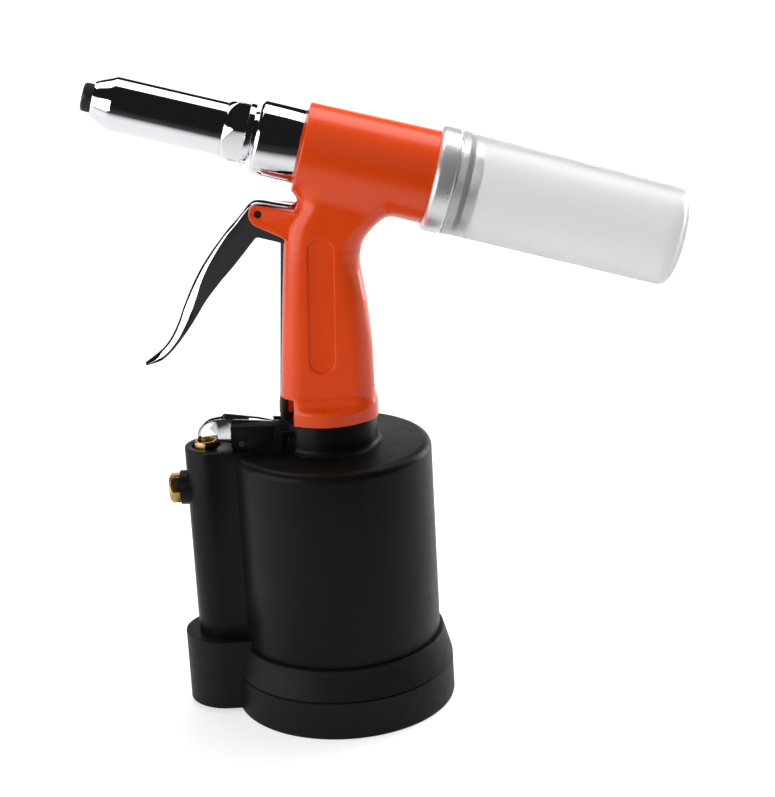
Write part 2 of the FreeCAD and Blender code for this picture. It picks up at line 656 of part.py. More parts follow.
def make_oil_plug():
    place = crosswise(D.oil_passage_place, OIL_UP)
    seat = D.grip_half - OIL_SEAT
    washer = tube("oil_washer_body", OIL_HEAD - 0.2, OIL_THREAD, seat, seat + 0.8, place)
    keep(washer, "oil_plug_washer")
    head = seat + 0.8
    turned_piece = lathe("oil_plug_turned", [
        (0, D.oil_passage + 2), (OIL_THREAD - 0.02, D.oil_passage + 2), (OIL_THREAD - 0.02, head),
        (OIL_HEAD - 0.4, head), (OIL_HEAD - 0.4, head + 2), (OIL_HEAD - 0.9, head + 2.5),
        (0, head + 2.5),
    ])
    slot = block("oil_plug_slot", both_sides(0.6), both_sides(OIL_HEAD), (head + 1.3, head + 3))
    keep(without("oil_plug_piece", turned_piece, [slot], place), "oil_plug")


# ---------------------------------------------------------------- trigger and its linkage

TRIGGER_OUTER = 180.0  # radius of the finger side's long sweep
TRIGGER_CURL = 58.0  # radius of the reverse curl at the tip


def make_trigger():
    """A bent steel channel: its back is the finger side, and its two flanges carry both pins."""
    across, up = D.pivot_across, D.pivot_up
    thick = D.trigger_wall
    tip = (across - 64.0, up - 76.4)
    bend = (across - 45.4, up - 55.5)
    shoulder = (across - 7.8, up - 0.9)
    crown = (across + 1.6, up + 5.9)
    crown_rear = (across + 17.2, up + 2.0)
    heel = (D.link_across + 4.4, D.link_up - 1.0)
    toe = (D.link_across - 0.8, up - 16.6)
    web_start = (across - 1.2, up - 13.4)
    web_end = (across - 40.2, up - 52.2)

    whole = slab("trigger_outline", [
        tip, (tip[0] + 1.0, tip[1] - 0.8, TRIGGER_CURL - 2), web_end,
        (across - 18.7, up - 26.8), (across - 5.0, up - 15.1, -8.0), web_start,
        (across + 2.6, up - 13.6), toe, heel, crown_rear, crown, (shoulder[0], shoulder[1],
        TRIGGER_OUTER), (bend[0], bend[1], -TRIGGER_CURL),
    ], D.trigger_half)
    channel = slab("trigger_channel", [
        (web_end[0] + 1.4, web_end[1] - 2.2), (toe[0] + 6, toe[1] - 30), (heel[0] + 8, heel[1] - 6),
        (crown_rear[0] + 4, crown_rear[1] - thick), (crown[0] + 0.4, crown[1] - thick * 1.1),
        (shoulder[0] + thick * 0.7, shoulder[1] - thick * 0.75, TRIGGER_OUTER - thick),
        (bend[0] + thick * 0.9, bend[1] - 0.6),
    ], D.trigger_half - thick)
    pivot = rod("trigger_pivot_tool", D.pivot_pin + D.running_gap, -10, 10,
                crosswise(D.pivot_across, D.pivot_up))
    link = rod("trigger_link_tool", D.link_pin, -10, 10, crosswise(D.link_across, D.link_up))
    keep(without("trigger_piece", whole, [channel, pivot, link]), "trigger")


def make_trigger_pins():
    end = D.ear_half - 0.1
    pivot = rod("trigger_pin_body", D.pivot_pin - 0.01, -end, end,
                crosswise(D.pivot_across, D.pivot_up))
    keep(pivot, "trigger_pin")
    link_end = D.trigger_half - 0.1
    link = rod("link_pin_body", D.link_pin - 0.01, -link_end, link_end,
               crosswise(D.link_across, D.link_up))
    keep(link, "link_pin")


def make_trigger_rod():
    """The rod down the front of the grip: an eye with a slot at the top, a foot at the bottom."""
    length = D.link_up - D.rod_low
    shaft = lathe("trigger_rod_shaft", [
        (0, -length), (D.rod_foot, -length), (D.rod_foot, -length + D.rod_foot_thick),
        (D.rod_wire, -length + D.rod_foot_thick), (D.rod_wire, -D.rod_eye), (0, -D.rod_eye),
    ])
    eye = rod("trigger_rod_eye", D.rod_eye, -D.rod_eye_half, D.rod_eye_half,
              turned((1, 0, 0), -90))
    neck = block("trigger_rod_neck", both_sides(D.rod_wire), both_sides(D.rod_wire),
                 (-D.rod_eye - 1, -D.rod_eye / 2))
    half = D.link_pin + 0.12
    slot = slab("trigger_rod_slot", [
        (-0.2, -half), (1.0, -half, half), (1.0 + half, 0, half), (1.0, half), (-0.2, half, half),
        (-0.2 - half, 0, half),
    ], D.rod_eye_half + 1)
    whole = joined("trigger_rod_whole", [shaft, eye, neck])
    lean = turned((0, 1, 0), SIZES["rod_lean"], (SIZES["link_across"], 0, SIZES["link_up"]))
    keep(without("trigger_rod_piece", whole, [slot], lean), "trigger_rod")


def make_lever():
    """The rocking lever on the cylinder: a channel whose nose bends down into the valve guide."""
    left = D.valve_place - 0.3
    crest = D.lever_up + 11.6
    wall = D.lever_wall
    rear = D.lever_across + 25.4
    top = [
        (left - 3.4, D.guide_top - 1.7), (left - 1.8, D.guide_top - 1.7),
        (left - 1.7, D.guide_top + 4.0, -7.5), (left + 5.2, crest - wall - 0.3),
        (D.lever_across - 9, crest - wall), (D.lever_across + 9.5, crest - wall - 1.4),
        (rear, crest - wall - 3.2), (rear, crest - 3.2), (D.lever_across + 9.5, crest - 1.4),
        (D.lever_across - 9, crest, 30.0), (left + 4.2, crest - 0.6, 8.9),
        (left - 3.4, D.guide_top + 4.0),
    ]
    back = slab("lever_back", top, D.lever_half)
    flange_low = D.lever_up - 3.0
    flanges = slab("lever_flanges", [
        (D.lever_across - 2, flange_low), (D.lever_across + 3, flange_low),
        (D.lever_across + 12, crest - 6.4), (rear, crest - wall - 3.2),
        (D.lever_across + 9.5, crest - wall - 1.4), (D.lever_across - 9, crest - wall),
        (left + 5.2, crest - wall - 0.3), (left + 3.2, crest - 5.0),
        (D.lever_across - 12.4, D.guide_top + 3.4), (D.lever_across - 12.4, D.guide_top + 0.8),
    ], D.lever_half)
    inner = block("lever_inner", (left, rear + 1), both_sides(D.lever_half - wall),
                  (flange_low - 1, crest))
    side_walls = without("lever_side_walls", flanges, [inner])
    whole = joined("lever_whole", [back, side_walls])
    nose_trim = [
        block(f"lever_nose_trim_{side}", (left - 6, left + 1.5),
              (D.lever_nose_half, D.lever_half + 1) if side > 0
              else (-D.lever_half - 1, -D.lever_nose_half), (D.guide_top - 4, D.guide_top + 3.4))
        for side in (-1, 1)
    ]
    fork_gap = D.rod_wire + 0.7
    fork = block("lever_fork", (rear - 8.6, rear + 1), both_sides(fork_gap), (flange_low, crest))
    hole = rod("lever_hole", D.lever_pin + D.running_gap, -8, 8,
               crosswise(D.lever_across, D.lever_up))
    keep(without("lever_piece", whole, nose_trim + [fork, hole]), "lever")
    pin = rod("lever_pin_body", D.lever_pin - 0.01, D.near_cheek + D.window_deep, D.far_cheek - 0.2,
              crosswise(D.lever_across, D.lever_up))
    keep(pin, "lever_pin")


# ---------------------------------------------------------------- air cylinder


def stadium(centre, radius, inner):
    """A half-round front and two flat flanks that run back to the place called inner."""
    return [
        (inner, -radius), (inner, radius), (centre, radius, radius),
        (centre - radius, 0, radius), (centre, -radius),
    ]


def plate_between(name, points, near, far):
    """A plate cut to an outline in the XZ plane, between two places along Y."""
    plate = slab(name, points, (far - near) / 2)
    plate.Placement = turned((0, 1, 0), 0, (0, ((near + far) / 2).value, 0))
    return plate


def cheek_outline(top):
    return [
        (D.bracket_front, D.cylinder_top - 2), (D.bracket_rear, D.cylinder_top - 2),
        (D.bracket_rear, top - 3), (D.screw_boss_front + 1.5, top), (D.bracket_front, top),
    ]


def make_cylinder_body():
    shell = lathe("cylinder_shell", [
        (0, D.cylinder_low), (D.cylinder_radius, D.cylinder_low),
        (D.cylinder_radius, D.cylinder_top - D.cylinder_round, D.cylinder_round),
        (D.cylinder_radius - D.cylinder_round, D.cylinder_top),
        (D.neck_radius + D.neck_fillet, D.cylinder_top, -D.neck_fillet),
        (D.neck_radius, D.cylinder_top + D.neck_fillet), (D.neck_radius, D.neck_top),
        (0, D.neck_top),
    ])
    valve_block = column("valve_block", stadium(D.block_place, D.block_radius, D.block_inner),
                         D.block_low, D.block_top)
    boss = rod("inlet_boss", D.boss_radius, -D.block_place, -D.boss_end, INLET)
    near_cheek = plate_between("near_cheek_plate", cheek_outline(D.near_cheek_top),
                               D.near_cheek, size_of(0))
    far_cheek = plate_between("far_cheek_plate", cheek_outline(D.far_cheek_top),
                              size_of(0), D.far_cheek)
    screw_boss = block("screw_boss", (D.screw_boss_front, D.bracket_rear),
                       (D.screw_boss_face, 0), (D.cylinder_top - 2, D.screw_boss_top))
    whole = joined("cylinder_whole", [shell, valve_block, boss, near_cheek, far_cheek, screw_boss])

    sill = D.cylinder_top + 1.4
    lintel = D.near_cheek_top - 1.6
    front_window = plate_between("front_window_tool", [
        (D.bracket_front + 1.4, sill), (D.screw_boss_front - 4.0, sill),
        (D.screw_boss_front - 1.4, lintel), (D.bracket_front + 1.4, lintel),
    ], D.near_cheek - 1, D.near_cheek + D.window_deep)
    rear_window = plate_between("rear_window_tool", [
        (D.screw_boss_front + 0.9, sill - 1), (D.bracket_rear - 0.9, sill - 1),
        (D.bracket_rear - 0.9, D.screw_boss_top - 1), (D.screw_boss_front + 2.4, D.screw_boss_top - 1),
    ], D.screw_boss_face - 1, D.screw_boss_face + D.window_deep)
    tools = [
        rod("cylinder_bore_tool", D.cylinder_bore, D.cylinder_low - 1, D.cylinder_roof),
        rod("clip_groove_tool", D.clip_groove, D.clip_low, D.clip_high),
        rod("bush_bore_tool", D.bush_radius + D.running_gap, D.cylinder_roof - 1, D.neck_floor + 1),
        rod("neck_bore_tool", D.neck_thread, D.neck_floor, D.neck_top + 1),
        rod("valve_bore_tool", D.valve_bore, D.block_low - 1, D.block_top + 1, VALVE),
        rod("inlet_bore_tool", D.inlet_thread, -D.inlet_shank_end, -D.boss_end + 1, INLET),
        rod("inlet_way_tool", D.inlet_hole, -D.valve_place, -D.inlet_shank_end + 1, INLET),
        rod("air_way_tool", AIR_WAY, D.cylinder_bore - 4, -D.valve_place,
            turned((0, 1, 0), -90, (0, 0, SIZES["cover_top"] + 3.5))),
        rod("exhaust_tool", D.inlet_bore, 0, D.block_radius + 1, EXHAUST),
        block("lever_gap_tool", (D.bracket_front - 1, D.lever_gap_rear),
              both_sides(D.lever_gap_half), (D.lever_gap_low, D.near_cheek_top + 1)),
        rod("guide_well_tool", D.guide_well, D.guide_well_floor, D.block_top + 1, VALVE),
        front_window,
        rear_window,
        rod("lever_pin_tool", D.lever_pin, D.near_cheek - 1, D.far_cheek + 1,
            crosswise(D.lever_across, D.lever_up)),
        rod("lock_screw_tool", D.screw_radius, D.screw_boss_face - 1, SCREW_END,
            crosswise(D.screw_across, D.screw_up)),
    ]
    keep(without("cylinder_body_piece", whole, tools), "cylinder_body")


AIR_WAY = 2.2
SCREW_END = size_of(-7.0)
EXHAUST = turned((1, 0, 0), -90, (SIZES["valve_place"], 0, 84.0))


def make_exhaust_silencer():
    outer = D.block_radius + 2.6
    plug = lathe("silencer_body", [
        (0, D.valve_bore + 1), (D.inlet_bore - 0.02, D.valve_bore + 1),
        (D.inlet_bore - 0.02, outer - 2.4, 2.6), (D.inlet_bore - 2.4, outer), (0, outer),
    ], EXHAUST)
    keep(plug, "exhaust_silencer")


def make_lock_screw():
    head = -D.screw_boss_face - D.window_deep - 0.1
    tip = -SCREW_END + 0.2
    radius = D.screw_radius - 0.02
    shank = lathe("lock_screw_turned", [
        (0, tip), (radius - 0.5, tip), (radius, tip + 0.5), (radius, head - 0.3),
        (radius - 0.3, head), (0, head),
    ])
    slot = block("lock_screw_slot", both_sides(0.5), both_sides(D.screw_radius),
                 (head - 1.2, head + 1))
    facing_near = turned((1, 0, 0), 90, (SIZES["screw_across"], 0, SIZES["screw_up"]))
    keep(without("lock_screw_piece", shank, [slot], facing_near), "lock_screw")


def make_cylinder_ends():
    fit = D.cylinder_bore - 0.05
    seal = (D.clip_high + D.cover_top) / 2
    half = D.air_ring + RING_SLACK
    cover = lathe("cylinder_cover_body", [
        (0, D.clip_high), (fit, D.clip_high),
        *groove(fit, D.cylinder_bore - D.air_ring * 2 - 0.1, seal - half, seal + half),
        (fit, D.cover_top), (0, D.cover_top),
    ])
    keep(cover, "cylinder_cover")
    keep(ring("cover_ring_body", D.cylinder_bore - D.air_ring - 0.04, D.air_ring, seal),
         "cover_seal")
    clip = tube("clip_ring", D.clip_groove - 0.1, D.clip_inner, D.clip_low + 0.1, D.clip_high - 0.1)
    gap = block("clip_gap", (0, D.clip_groove + 1), both_sides(7), (D.clip_low, D.clip_high))
    keep(without("retaining_ring_piece", clip, [gap]), "retaining_ring")
    bumper = tube("bumper_body", D.bumper_outer, D.bumper_inner, D.cover_top, D.bumper_top)
    keep(bumper, "bumper")


def make_air_piston():
    low = D.air_piston_low
    high = low + D.air_piston_thick
    middle = (low + high) / 2
    half = D.air_ring + RING_SLACK
    recess = D.nut_across / 2 + 2.5
    piston = lathe("air_piston_body", [
        (D.ram_stud, low + D.nut_thick), (recess, low + D.nut_thick), (recess, low),
        (D.air_piston_radius, low),
        *groove(D.air_piston_radius, D.cylinder_bore - D.air_ring * 2 - 0.15,
                middle - half, middle + half),
        (D.air_piston_radius, high), (D.ram_stud, high),
    ])
    keep(piston, "air_piston")
    keep(ring("piston_ring_body", D.cylinder_bore - D.air_ring - 0.05, D.air_ring, middle),
         "air_piston_seal")
    ram = lathe("ram_body", [
        (0, low), (D.ram_stud, low), (D.ram_stud, high), (D.ram_radius, high),
        (D.ram_radius, D.ram_tip - 1), (D.ram_radius - 1, D.ram_tip), (0, D.ram_tip),
    ])
    keep(ram, "ram")
    blank = tube("ram_nut_blank", D.nut_across, D.ram_stud, low, low + D.nut_thick)
    nut = with_flats("ram_nut_piece", blank, D.nut_across, low - 1, low + D.nut_thick + 1)
    keep(nut, "ram_nut")


def make_ram_bush():
    guide = D.ram_radius + D.running_gap
    seal_low = D.cylinder_roof + 3
    seal_high = seal_low + (D.rod_ring + RING_SLACK) * 2
    ring_low = D.neck_floor - 4
    ring_high = ring_low + (D.bush_ring + RING_SLACK) * 2
    bush = lathe("ram_bush_body", [
        (guide, D.bush_flange_low), (D.bush_flange, D.bush_flange_low),
        (D.bush_flange, D.cylinder_roof), (D.bush_radius, D.cylinder_roof),
        *groove(D.bush_radius, D.bush_radius - D.bush_ring * 2, ring_low, ring_high),
        (D.bush_radius, D.neck_floor), (guide, D.neck_floor),
        *groove_down(guide, D.ram_radius + D.rod_ring * 2 + 0.15, seal_low, seal_high),
    ])
    keep(bush, "ram_bush")
    keep(ring("ram_seal_ring", D.ram_radius + D.rod_ring + 0.08, D.rod_ring,
              (seal_low + seal_high) / 2), "ram_seal")
    keep(ring("bush_seal_ring", D.bush_radius - D.bush_ring + 0.02, D.bush_ring,
              (ring_low + ring_high) / 2), "bush_seal")


def make_rubber_boot():
    """The boot that the gun stands on, with a lobe that wraps the foot of the valve block."""
    cup = lathe("boot_cup", [
        (0, 0), (D.boot_radius - D.boot_edge, 0, D.boot_edge), (D.boot_radius, D.boot_edge),
        (D.boot_radius - 0.1, D.boot_seam - 0.6), (D.boot_radius - 1.0, D.boot_seam),
        (D.boot_radius - 0.1, D.boot_seam + 0.6), (D.boot_lip_radius, D.boot_lip - 1, 1.0),
        (D.boot_lip_radius - 1, D.boot_lip), (0, D.boot_lip),
    ])
    lobe = column("boot_lobe", stadium(D.lobe_place, D.lobe_radius, D.block_inner),
                  D.lobe_low, D.lobe_top)
    cylinder_room = rod("boot_cylinder_tool", D.cylinder_radius + D.boot_gap, D.boot_floor,
                        D.lobe_top + 1)
    block_room = column("boot_block_tool",
                        stadium(D.block_place, D.block_radius + D.boot_gap, D.block_inner),
                        D.block_low - D.boot_gap, D.lobe_top + 1)
    whole = joined("boot_whole", [cup, lobe])
    keep(without("rubber_boot_piece", whole, [cylinder_room, block_room]), "rubber_boot")


# ---------------------------------------------------------------- valve and air inlet


def make_valve_guide():
    shank = D.valve_bore - D.running_gap
    corner = D.guide_across / math.sqrt(3)
    turned_piece = lathe("valve_guide_turned", [
        (D.stem_radius + 0.05, D.guide_low), (shank, D.guide_low), (shank, D.guide_well_floor),
        (corner, D.guide_well_floor), (corner, D.guide_top - 0.7), (corner - 0.7, D.guide_top),
        (D.guide_mouth, D.guide_top), (D.guide_mouth, D.guide_mouth_floor),
        (D.stem_radius + 0.05, D.guide_mouth_floor),
    ])
    piece = with_flats("valve_guide_piece", turned_piece, D.guide_across, D.guide_well_floor, D.guide_top,
                       VALVE, 30)
    keep(piece, "valve_guide")


def make_valve_stem():
    land = D.stem_land
    lands = [D.valve_sleeve_top - 14, D.valve_sleeve_low + 18]
    ring_bed = D.valve_sleeve_bore - D.valve_ring * 2 - 0.1
    points = [(0, D.stem_low), (D.stem_head, D.stem_low), (D.stem_head, D.stem_low + 2),
              (D.stem_waist, D.stem_low + 2)]
    for centre in reversed(lands):
        points.append((D.stem_waist, centre - 3))
        points.append((land, centre - 3))
        points.extend(groove(land, ring_bed, centre - 0.6, centre + 0.6))
        points.append((land, centre + 3))
        points.append((D.stem_waist, centre + 3))
    neck = D.guide_low - 2
    points.extend([
        (D.stem_waist, neck), (D.stem_radius, neck), (D.stem_radius, D.stem_top - D.stem_head_thick),
        (D.stem_head, D.stem_top - D.stem_head_thick), (D.stem_head, D.stem_top), (0, D.stem_top),
    ])
    keep(lathe("valve_stem_body", points, VALVE), "valve_stem")
    radius = D.valve_sleeve_bore - D.valve_ring - 0.04
    rings = [
        ring(f"stem_ring_{number + 1}", radius, D.valve_ring, centre, VALVE)
        for number, centre in enumerate(lands)
    ]
    keep(grouped("stem_ring_pair", rings), "stem_seals")


def grouped(name, pieces):
    """Separate solids of one kind that share a node."""
    group = doc.addObject("Part::Compound", name)
    group.Links = pieces
    return group


def make_valve_sleeve():
    outer = D.valve_bore - D.running_gap
    bed = D.valve_bore - D.valve_ring * 2 - 0.1
    centres = [D.inlet_height - 8, D.inlet_height + 7, D.valve_sleeve_low + 3]
    points = [(D.valve_sleeve_bore, D.valve_sleeve_low), (outer, D.valve_sleeve_low)]
    for centre in (centres[2], centres[0], centres[1]):
        points.extend(groove(outer, bed, centre - 0.65, centre + 0.65))
    points.extend([(outer, D.valve_sleeve_top), (D.valve_sleeve_bore, D.valve_sleeve_top)])
    turned_piece = lathe("valve_sleeve_turned", points)
    ports = [
        rod(f"valve_port_{number + 1}", D.port_radius, -8, 8, turned(axis, 90, (0, 0, height)))
        for number, (axis, height) in enumerate((
            ((0, 1, 0), SIZES["inlet_height"]), ((1, 0, 0), SIZES["inlet_height"]),
            ((1, 0, 0), 84.0), ((0, 1, 0), 100.0)))
    ]
    keep(without("valve_sleeve_piece", turned_piece, ports, VALVE), "valve_sleeve")
    radius = D.valve_bore - D.valve_ring - 0.04
    rings = [
        ring(f"sleeve_ring_{number + 1}", radius, D.valve_ring, centre, VALVE)
        for number, centre in enumerate(centres)
    ]
    keep(grouped("sleeve_ring_set", rings), "valve_sleeve_seals")


def make_valve_foot():
    spring = coil("valve_spring_coil", D.valve_spring_radius, D.valve_spring_wire, D.plug_top,
                  D.stem_low, 9, VALVE)
    keep(spring, "valve_spring")
    outer = D.valve_bore - D.running_gap
    ring_low = D.plug_low + 3
    blank = lathe("valve_plug_turned", [
        (0, D.plug_low), (outer, D.plug_low),
        *groove(outer, D.valve_bore - D.valve_ring * 2 - 0.1, ring_low - 0.65, ring_low + 0.65),
        (outer, D.plug_top), (0, D.plug_top),
    ])
    slot = block("valve_plug_slot", both_sides(0.7), both_sides(D.valve_bore),
                 (D.plug_low - 1, D.plug_low + 1.4))
    keep(without("valve_plug_piece", blank, [slot], VALVE), "valve_plug")
    keep(ring("plug_ring_body", D.valve_bore - D.valve_ring - 0.04, D.valve_ring, ring_low, VALVE),
         "valve_plug_seal")


def make_air_inlet():
    """The brass bushing: local Z runs out of its mouth, away from the valve block."""
    corner = D.inlet_across / math.sqrt(3)
    mouth, seat, end, floor = -D.inlet_end, -D.inlet_seat, -D.inlet_shank_end, -D.inlet_bore_end
    turned_piece = lathe("air_inlet_turned", [
        (D.inlet_hole, end), (D.inlet_thread - 0.02, end), (D.inlet_thread - 0.02, seat),
        (corner, seat), (corner, mouth - D.inlet_bevel), (corner - D.inlet_bevel, mouth),
        (D.inlet_bore, mouth), (D.inlet_bore, floor), (D.inlet_hole, floor),
    ])
    piece = with_flats("air_inlet_piece", turned_piece, D.inlet_across, seat, mouth, INLET, 30)
    keep(piece, "air_inlet")
    screen = rod("inlet_screen_body", D.inlet_hole - 0.03, floor - 0.9, floor - 0.1, INLET)
    keep(screen, "inlet_screen")


# ---------------------------------------------------------------- make, check and write

for make in (
    make_nosepiece, make_nose_sleeve, make_barrel_head, make_jaw_case, make_jaws, make_jaw_pusher,
    make_pull_piston, make_mandrel_tube, make_rear_cap, make_mandrel_bottle, make_handle_housing,
    make_oil_plug, make_trigger, make_trigger_pins, make_trigger_rod, make_lever,
    make_cylinder_body, make_exhaust_silencer, make_lock_screw, make_cylinder_ends,
    make_air_piston, make_ram_bush, make_rubber_boot, make_valve_guide, make_valve_stem,
    make_valve_sleeve, make_valve_foot, make_air_inlet,
):
    make()
doc.recompute()

for thing in doc.Objects:
    if "Invalid" in thing.State or "Error" in thing.State:
        raise RuntimeError(f"{thing.Name} did not build: {thing.State}")
for piece in PARTS:
    if piece.Shape.isNull() or not piece.Shape.isValid() or piece.Shape.Volume <= 0:
        raise RuntimeError(f"{piece.Label} has no valid solid")
for piece in PARTS:
    piece.Shape.exportStep(f"parts/{piece.Label}.step")
    print(f"{piece.Label:22} {len(piece.Shape.Solids)} solid(s) {piece.Shape.Volume / 1000:9.2f} cm3")
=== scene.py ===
"""Looks for the air-over-oil rivet gun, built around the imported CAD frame."""

import json
import math

import bmesh
import bpy
import numpy as np
from mathutils import Matrix, Vector


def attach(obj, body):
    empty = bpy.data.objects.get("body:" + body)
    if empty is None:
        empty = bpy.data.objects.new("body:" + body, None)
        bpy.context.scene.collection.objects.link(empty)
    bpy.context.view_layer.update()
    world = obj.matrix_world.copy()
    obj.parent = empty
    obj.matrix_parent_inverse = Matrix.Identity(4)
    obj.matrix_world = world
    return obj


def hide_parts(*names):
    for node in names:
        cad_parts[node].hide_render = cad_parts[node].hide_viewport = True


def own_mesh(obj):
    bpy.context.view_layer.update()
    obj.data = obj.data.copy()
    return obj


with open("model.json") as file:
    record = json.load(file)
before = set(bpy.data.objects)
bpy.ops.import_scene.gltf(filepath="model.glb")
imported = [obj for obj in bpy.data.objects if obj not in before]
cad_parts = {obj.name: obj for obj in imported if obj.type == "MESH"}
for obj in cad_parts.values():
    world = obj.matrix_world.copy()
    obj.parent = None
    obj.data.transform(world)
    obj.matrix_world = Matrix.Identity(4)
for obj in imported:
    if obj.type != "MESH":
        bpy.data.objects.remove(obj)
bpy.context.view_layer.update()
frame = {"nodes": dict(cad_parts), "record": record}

MM = 0.001

# the barrel's axis: place 0 is where it crosses the cylinder axis, and places grow rearward
BARREL_TILT = math.radians(16.4)
BARREL_HEART = np.array([0.0, 0.0, 297.8])
BARREL_REARWARD = np.array([math.cos(BARREL_TILT), 0.0, -math.sin(BARREL_TILT)])
BARREL_DOWN = np.array([-math.sin(BARREL_TILT), 0.0, -math.cos(BARREL_TILT)])
ACROSS = np.array([0.0, 1.0, 0.0])
SIDEWAYS = np.array([1.0, 0.0, 0.0])
UP = np.array([0.0, 0.0, 1.0])

# the bottle hangs one degree below the barrel, turned about the middle of its ring
BOTTLE_TILT = BARREL_TILT + math.radians(1.0)
BOTTLE_RING_PLACE = 76.6
BOTTLE_REARWARD = np.array([math.cos(BOTTLE_TILT), 0.0, -math.sin(BOTTLE_TILT)])
BOTTLE_DOWN = np.array([-math.sin(BOTTLE_TILT), 0.0, -math.cos(BOTTLE_TILT)])
BOTTLE_HEART = BARREL_HEART + BARREL_REARWARD * BOTTLE_RING_PLACE - BOTTLE_REARWARD * BOTTLE_RING_PLACE


# ---------------------------------------------------------------- surfaces


def new_piece(name, points, faces):
    """An object whose mesh has these points, given in millimetres, and these faces."""
    mesh = bpy.data.meshes.new(name)
    mesh.from_pydata((points * MM).tolist(), [], faces)
    piece = bpy.data.objects.new(name, mesh)
    bpy.context.scene.collection.objects.link(piece)
    return piece


def smooth_again(piece, degrees):
    """Smooth shading that breaks where two faces meet at more than this angle."""
    piece.data.shade_smooth()
    piece.data.set_sharp_from_angle(angle=math.radians(degrees))
    return piece


def mesh_piece(name, points, quads, sharp_degrees=40.0):
    """A piece with four-cornered faces, smooth except across sharp edges."""
    piece = new_piece(name, points, quads.tolist())
    piece.data.validate()
    return smooth_again(piece, sharp_degrees)


def grid_quads(rows, columns, rows_close=False):
    """Corner numbers of a grid whose columns close round, and whose rows close too when asked."""
    row = np.arange(rows if rows_close else rows - 1)[:, None]
    column = np.arange(columns)[None, :]
    after_row = (row + 1) % rows
    after_column = (column + 1) % columns
    return np.stack([
        row * columns + column, row * columns + after_column,
        after_row * columns + after_column, after_row * columns + column,
    ], axis=-1).reshape(-1, 4)


def capped(points, rows, columns):
    """A grid of rings, closed at both ends by a fan to the mean of its first and last ring."""
    quads = grid_quads(rows, columns)
    first, last = points[:columns].mean(0), points[-columns:].mean(0)
    around = np.arange(columns)
    after = (around + 1) % columns
    base = (rows - 1) * columns
    count = len(points)
    start = np.stack([np.full(columns, count), after, around], axis=-1)
    end = np.stack([np.full(columns, count + 1), base + around, base + after], axis=-1)
    return np.vstack([points, first, last]), quads.tolist() + start.tolist() + end.tolist()


def outward(piece):
    """Merges the doubles of a closed mesh and turns every face outward."""
    work = bmesh.new()
    work.from_mesh(piece.data)
    bmesh.ops.remove_doubles(work, verts=work.verts, dist=0.0000005)
    bmesh.ops.recalc_face_normals(work, faces=work.faces)
    work.to_mesh(piece.data)
    work.free()
    return piece


def rounded_path(corners, step=0.35):
    """A closed profile through (radius, place, rounding) corners: every corner is cut by the two
    points that lie its rounding away along its sides, and an arc-like curve (a parabola with the
    corner as its control point) joins them."""
    corners = np.array([c if len(c) == 3 else (*c, 0.0) for c in corners], float)
    spots, rounding = corners[:, :2], corners[:, 2]
    before = np.roll(spots, 1, axis=0) - spots
    after = np.roll(spots, -1, axis=0) - spots
    before /= np.linalg.norm(before, axis=1, keepdims=True)
    after /= np.linalg.norm(after, axis=1, keepdims=True)
    path = []
    for spot, radius, back, on in zip(spots, rounding, before, after):
        if radius <= 0:
            path.append(spot[None, :])
            continue
        t = np.linspace(0, 1, max(4, int(radius / step) + 3))[:, None]
        path.append((1 - t) ** 2 * (spot + back * radius) + 2 * t * (1 - t) * spot
                    + t ** 2 * (spot + on * radius))
    return np.vstack(path)


def turned_piece(name, corners, heart, rearward, down, columns=160, sharp_degrees=40.0):
    """A closed profile of (radius, place) carried round an axis: point = heart + place * axis
    + radius * (cos a * down + sin a * sideways)."""
    profile = rounded_path(corners)
    side = np.cross(rearward, down)
    angle = np.linspace(0, 2 * np.pi, columns, endpoint=False)
    spoke = np.cos(angle)[:, None] * down + np.sin(angle)[:, None] * side
    points = (heart + profile[:, 1][:, None, None] * rearward
              + profile[:, 0][:, None, None] * spoke[None])
    piece = mesh_piece(name, points.reshape(-1, 3),
                       grid_quads(len(profile), columns, rows_close=True), sharp_degrees)
    return outward(piece)


def finished_mesh(piece):
    """Puts the piece's modifiers into its mesh."""
    bpy.context.view_layer.update()
    seen = piece.evaluated_get(bpy.context.evaluated_depsgraph_get())
    mesh = bpy.data.meshes.new_from_object(seen)
    piece.modifiers.clear()
    piece.data = mesh
    return piece


def joined_to(piece, others, kind):
    """Adds closed pieces to a closed piece, or takes them away from it, and drops them."""
    for other in others:
        change = piece.modifiers.new(kind.lower(), "BOOLEAN")
        change.operation = kind
        change.solver = "MANIFOLD"
        change.object = other
    finished_mesh(piece)
    for other in others:
        bpy.data.objects.remove(other)
    return piece


def slab_piece(name, outline, low, high, rounding):
    """A plate with rounded rims: the outline, whose corners are (across, up, rounding), is carried
    from low to high along +Y, and drawn in by r * (1 - cos a) while it rises by r * sin a."""
    edge = rounded_path(outline, 0.25)
    ahead = np.roll(edge, -1, axis=0) - np.roll(edge, 1, axis=0)
    normal = np.stack([ahead[:, 1], -ahead[:, 0]], axis=1)
    normal /= np.linalg.norm(normal, axis=1, keepdims=True).clip(1e-9)
    area = np.sum(edge[:, 0] * np.roll(edge[:, 1], -1) - np.roll(edge[:, 0], -1) * edge[:, 1])
    normal *= np.sign(area)
    a = np.linspace(0, np.pi / 2, 5)
    inset = np.concatenate([rounding * (1 - np.sin(a)), rounding * (1 - np.sin(a))[::-1]])
    rise = rounding * (1 - np.cos(a))
    height = np.concatenate([low + rise, high - rise[::-1]])
    ring = edge[None] - normal[None] * inset[:, None, None]
    points = (ring[..., 0:1] * SIDEWAYS + ring[..., 1:2] * UP
              + height[:, None, None] * ACROSS)
    points, faces = capped(points.reshape(-1, 3), len(height), len(edge))
    return outward(smooth_again(new_piece(name, points, faces), 40))


# ---------------------------------------------------------------- the orange casting

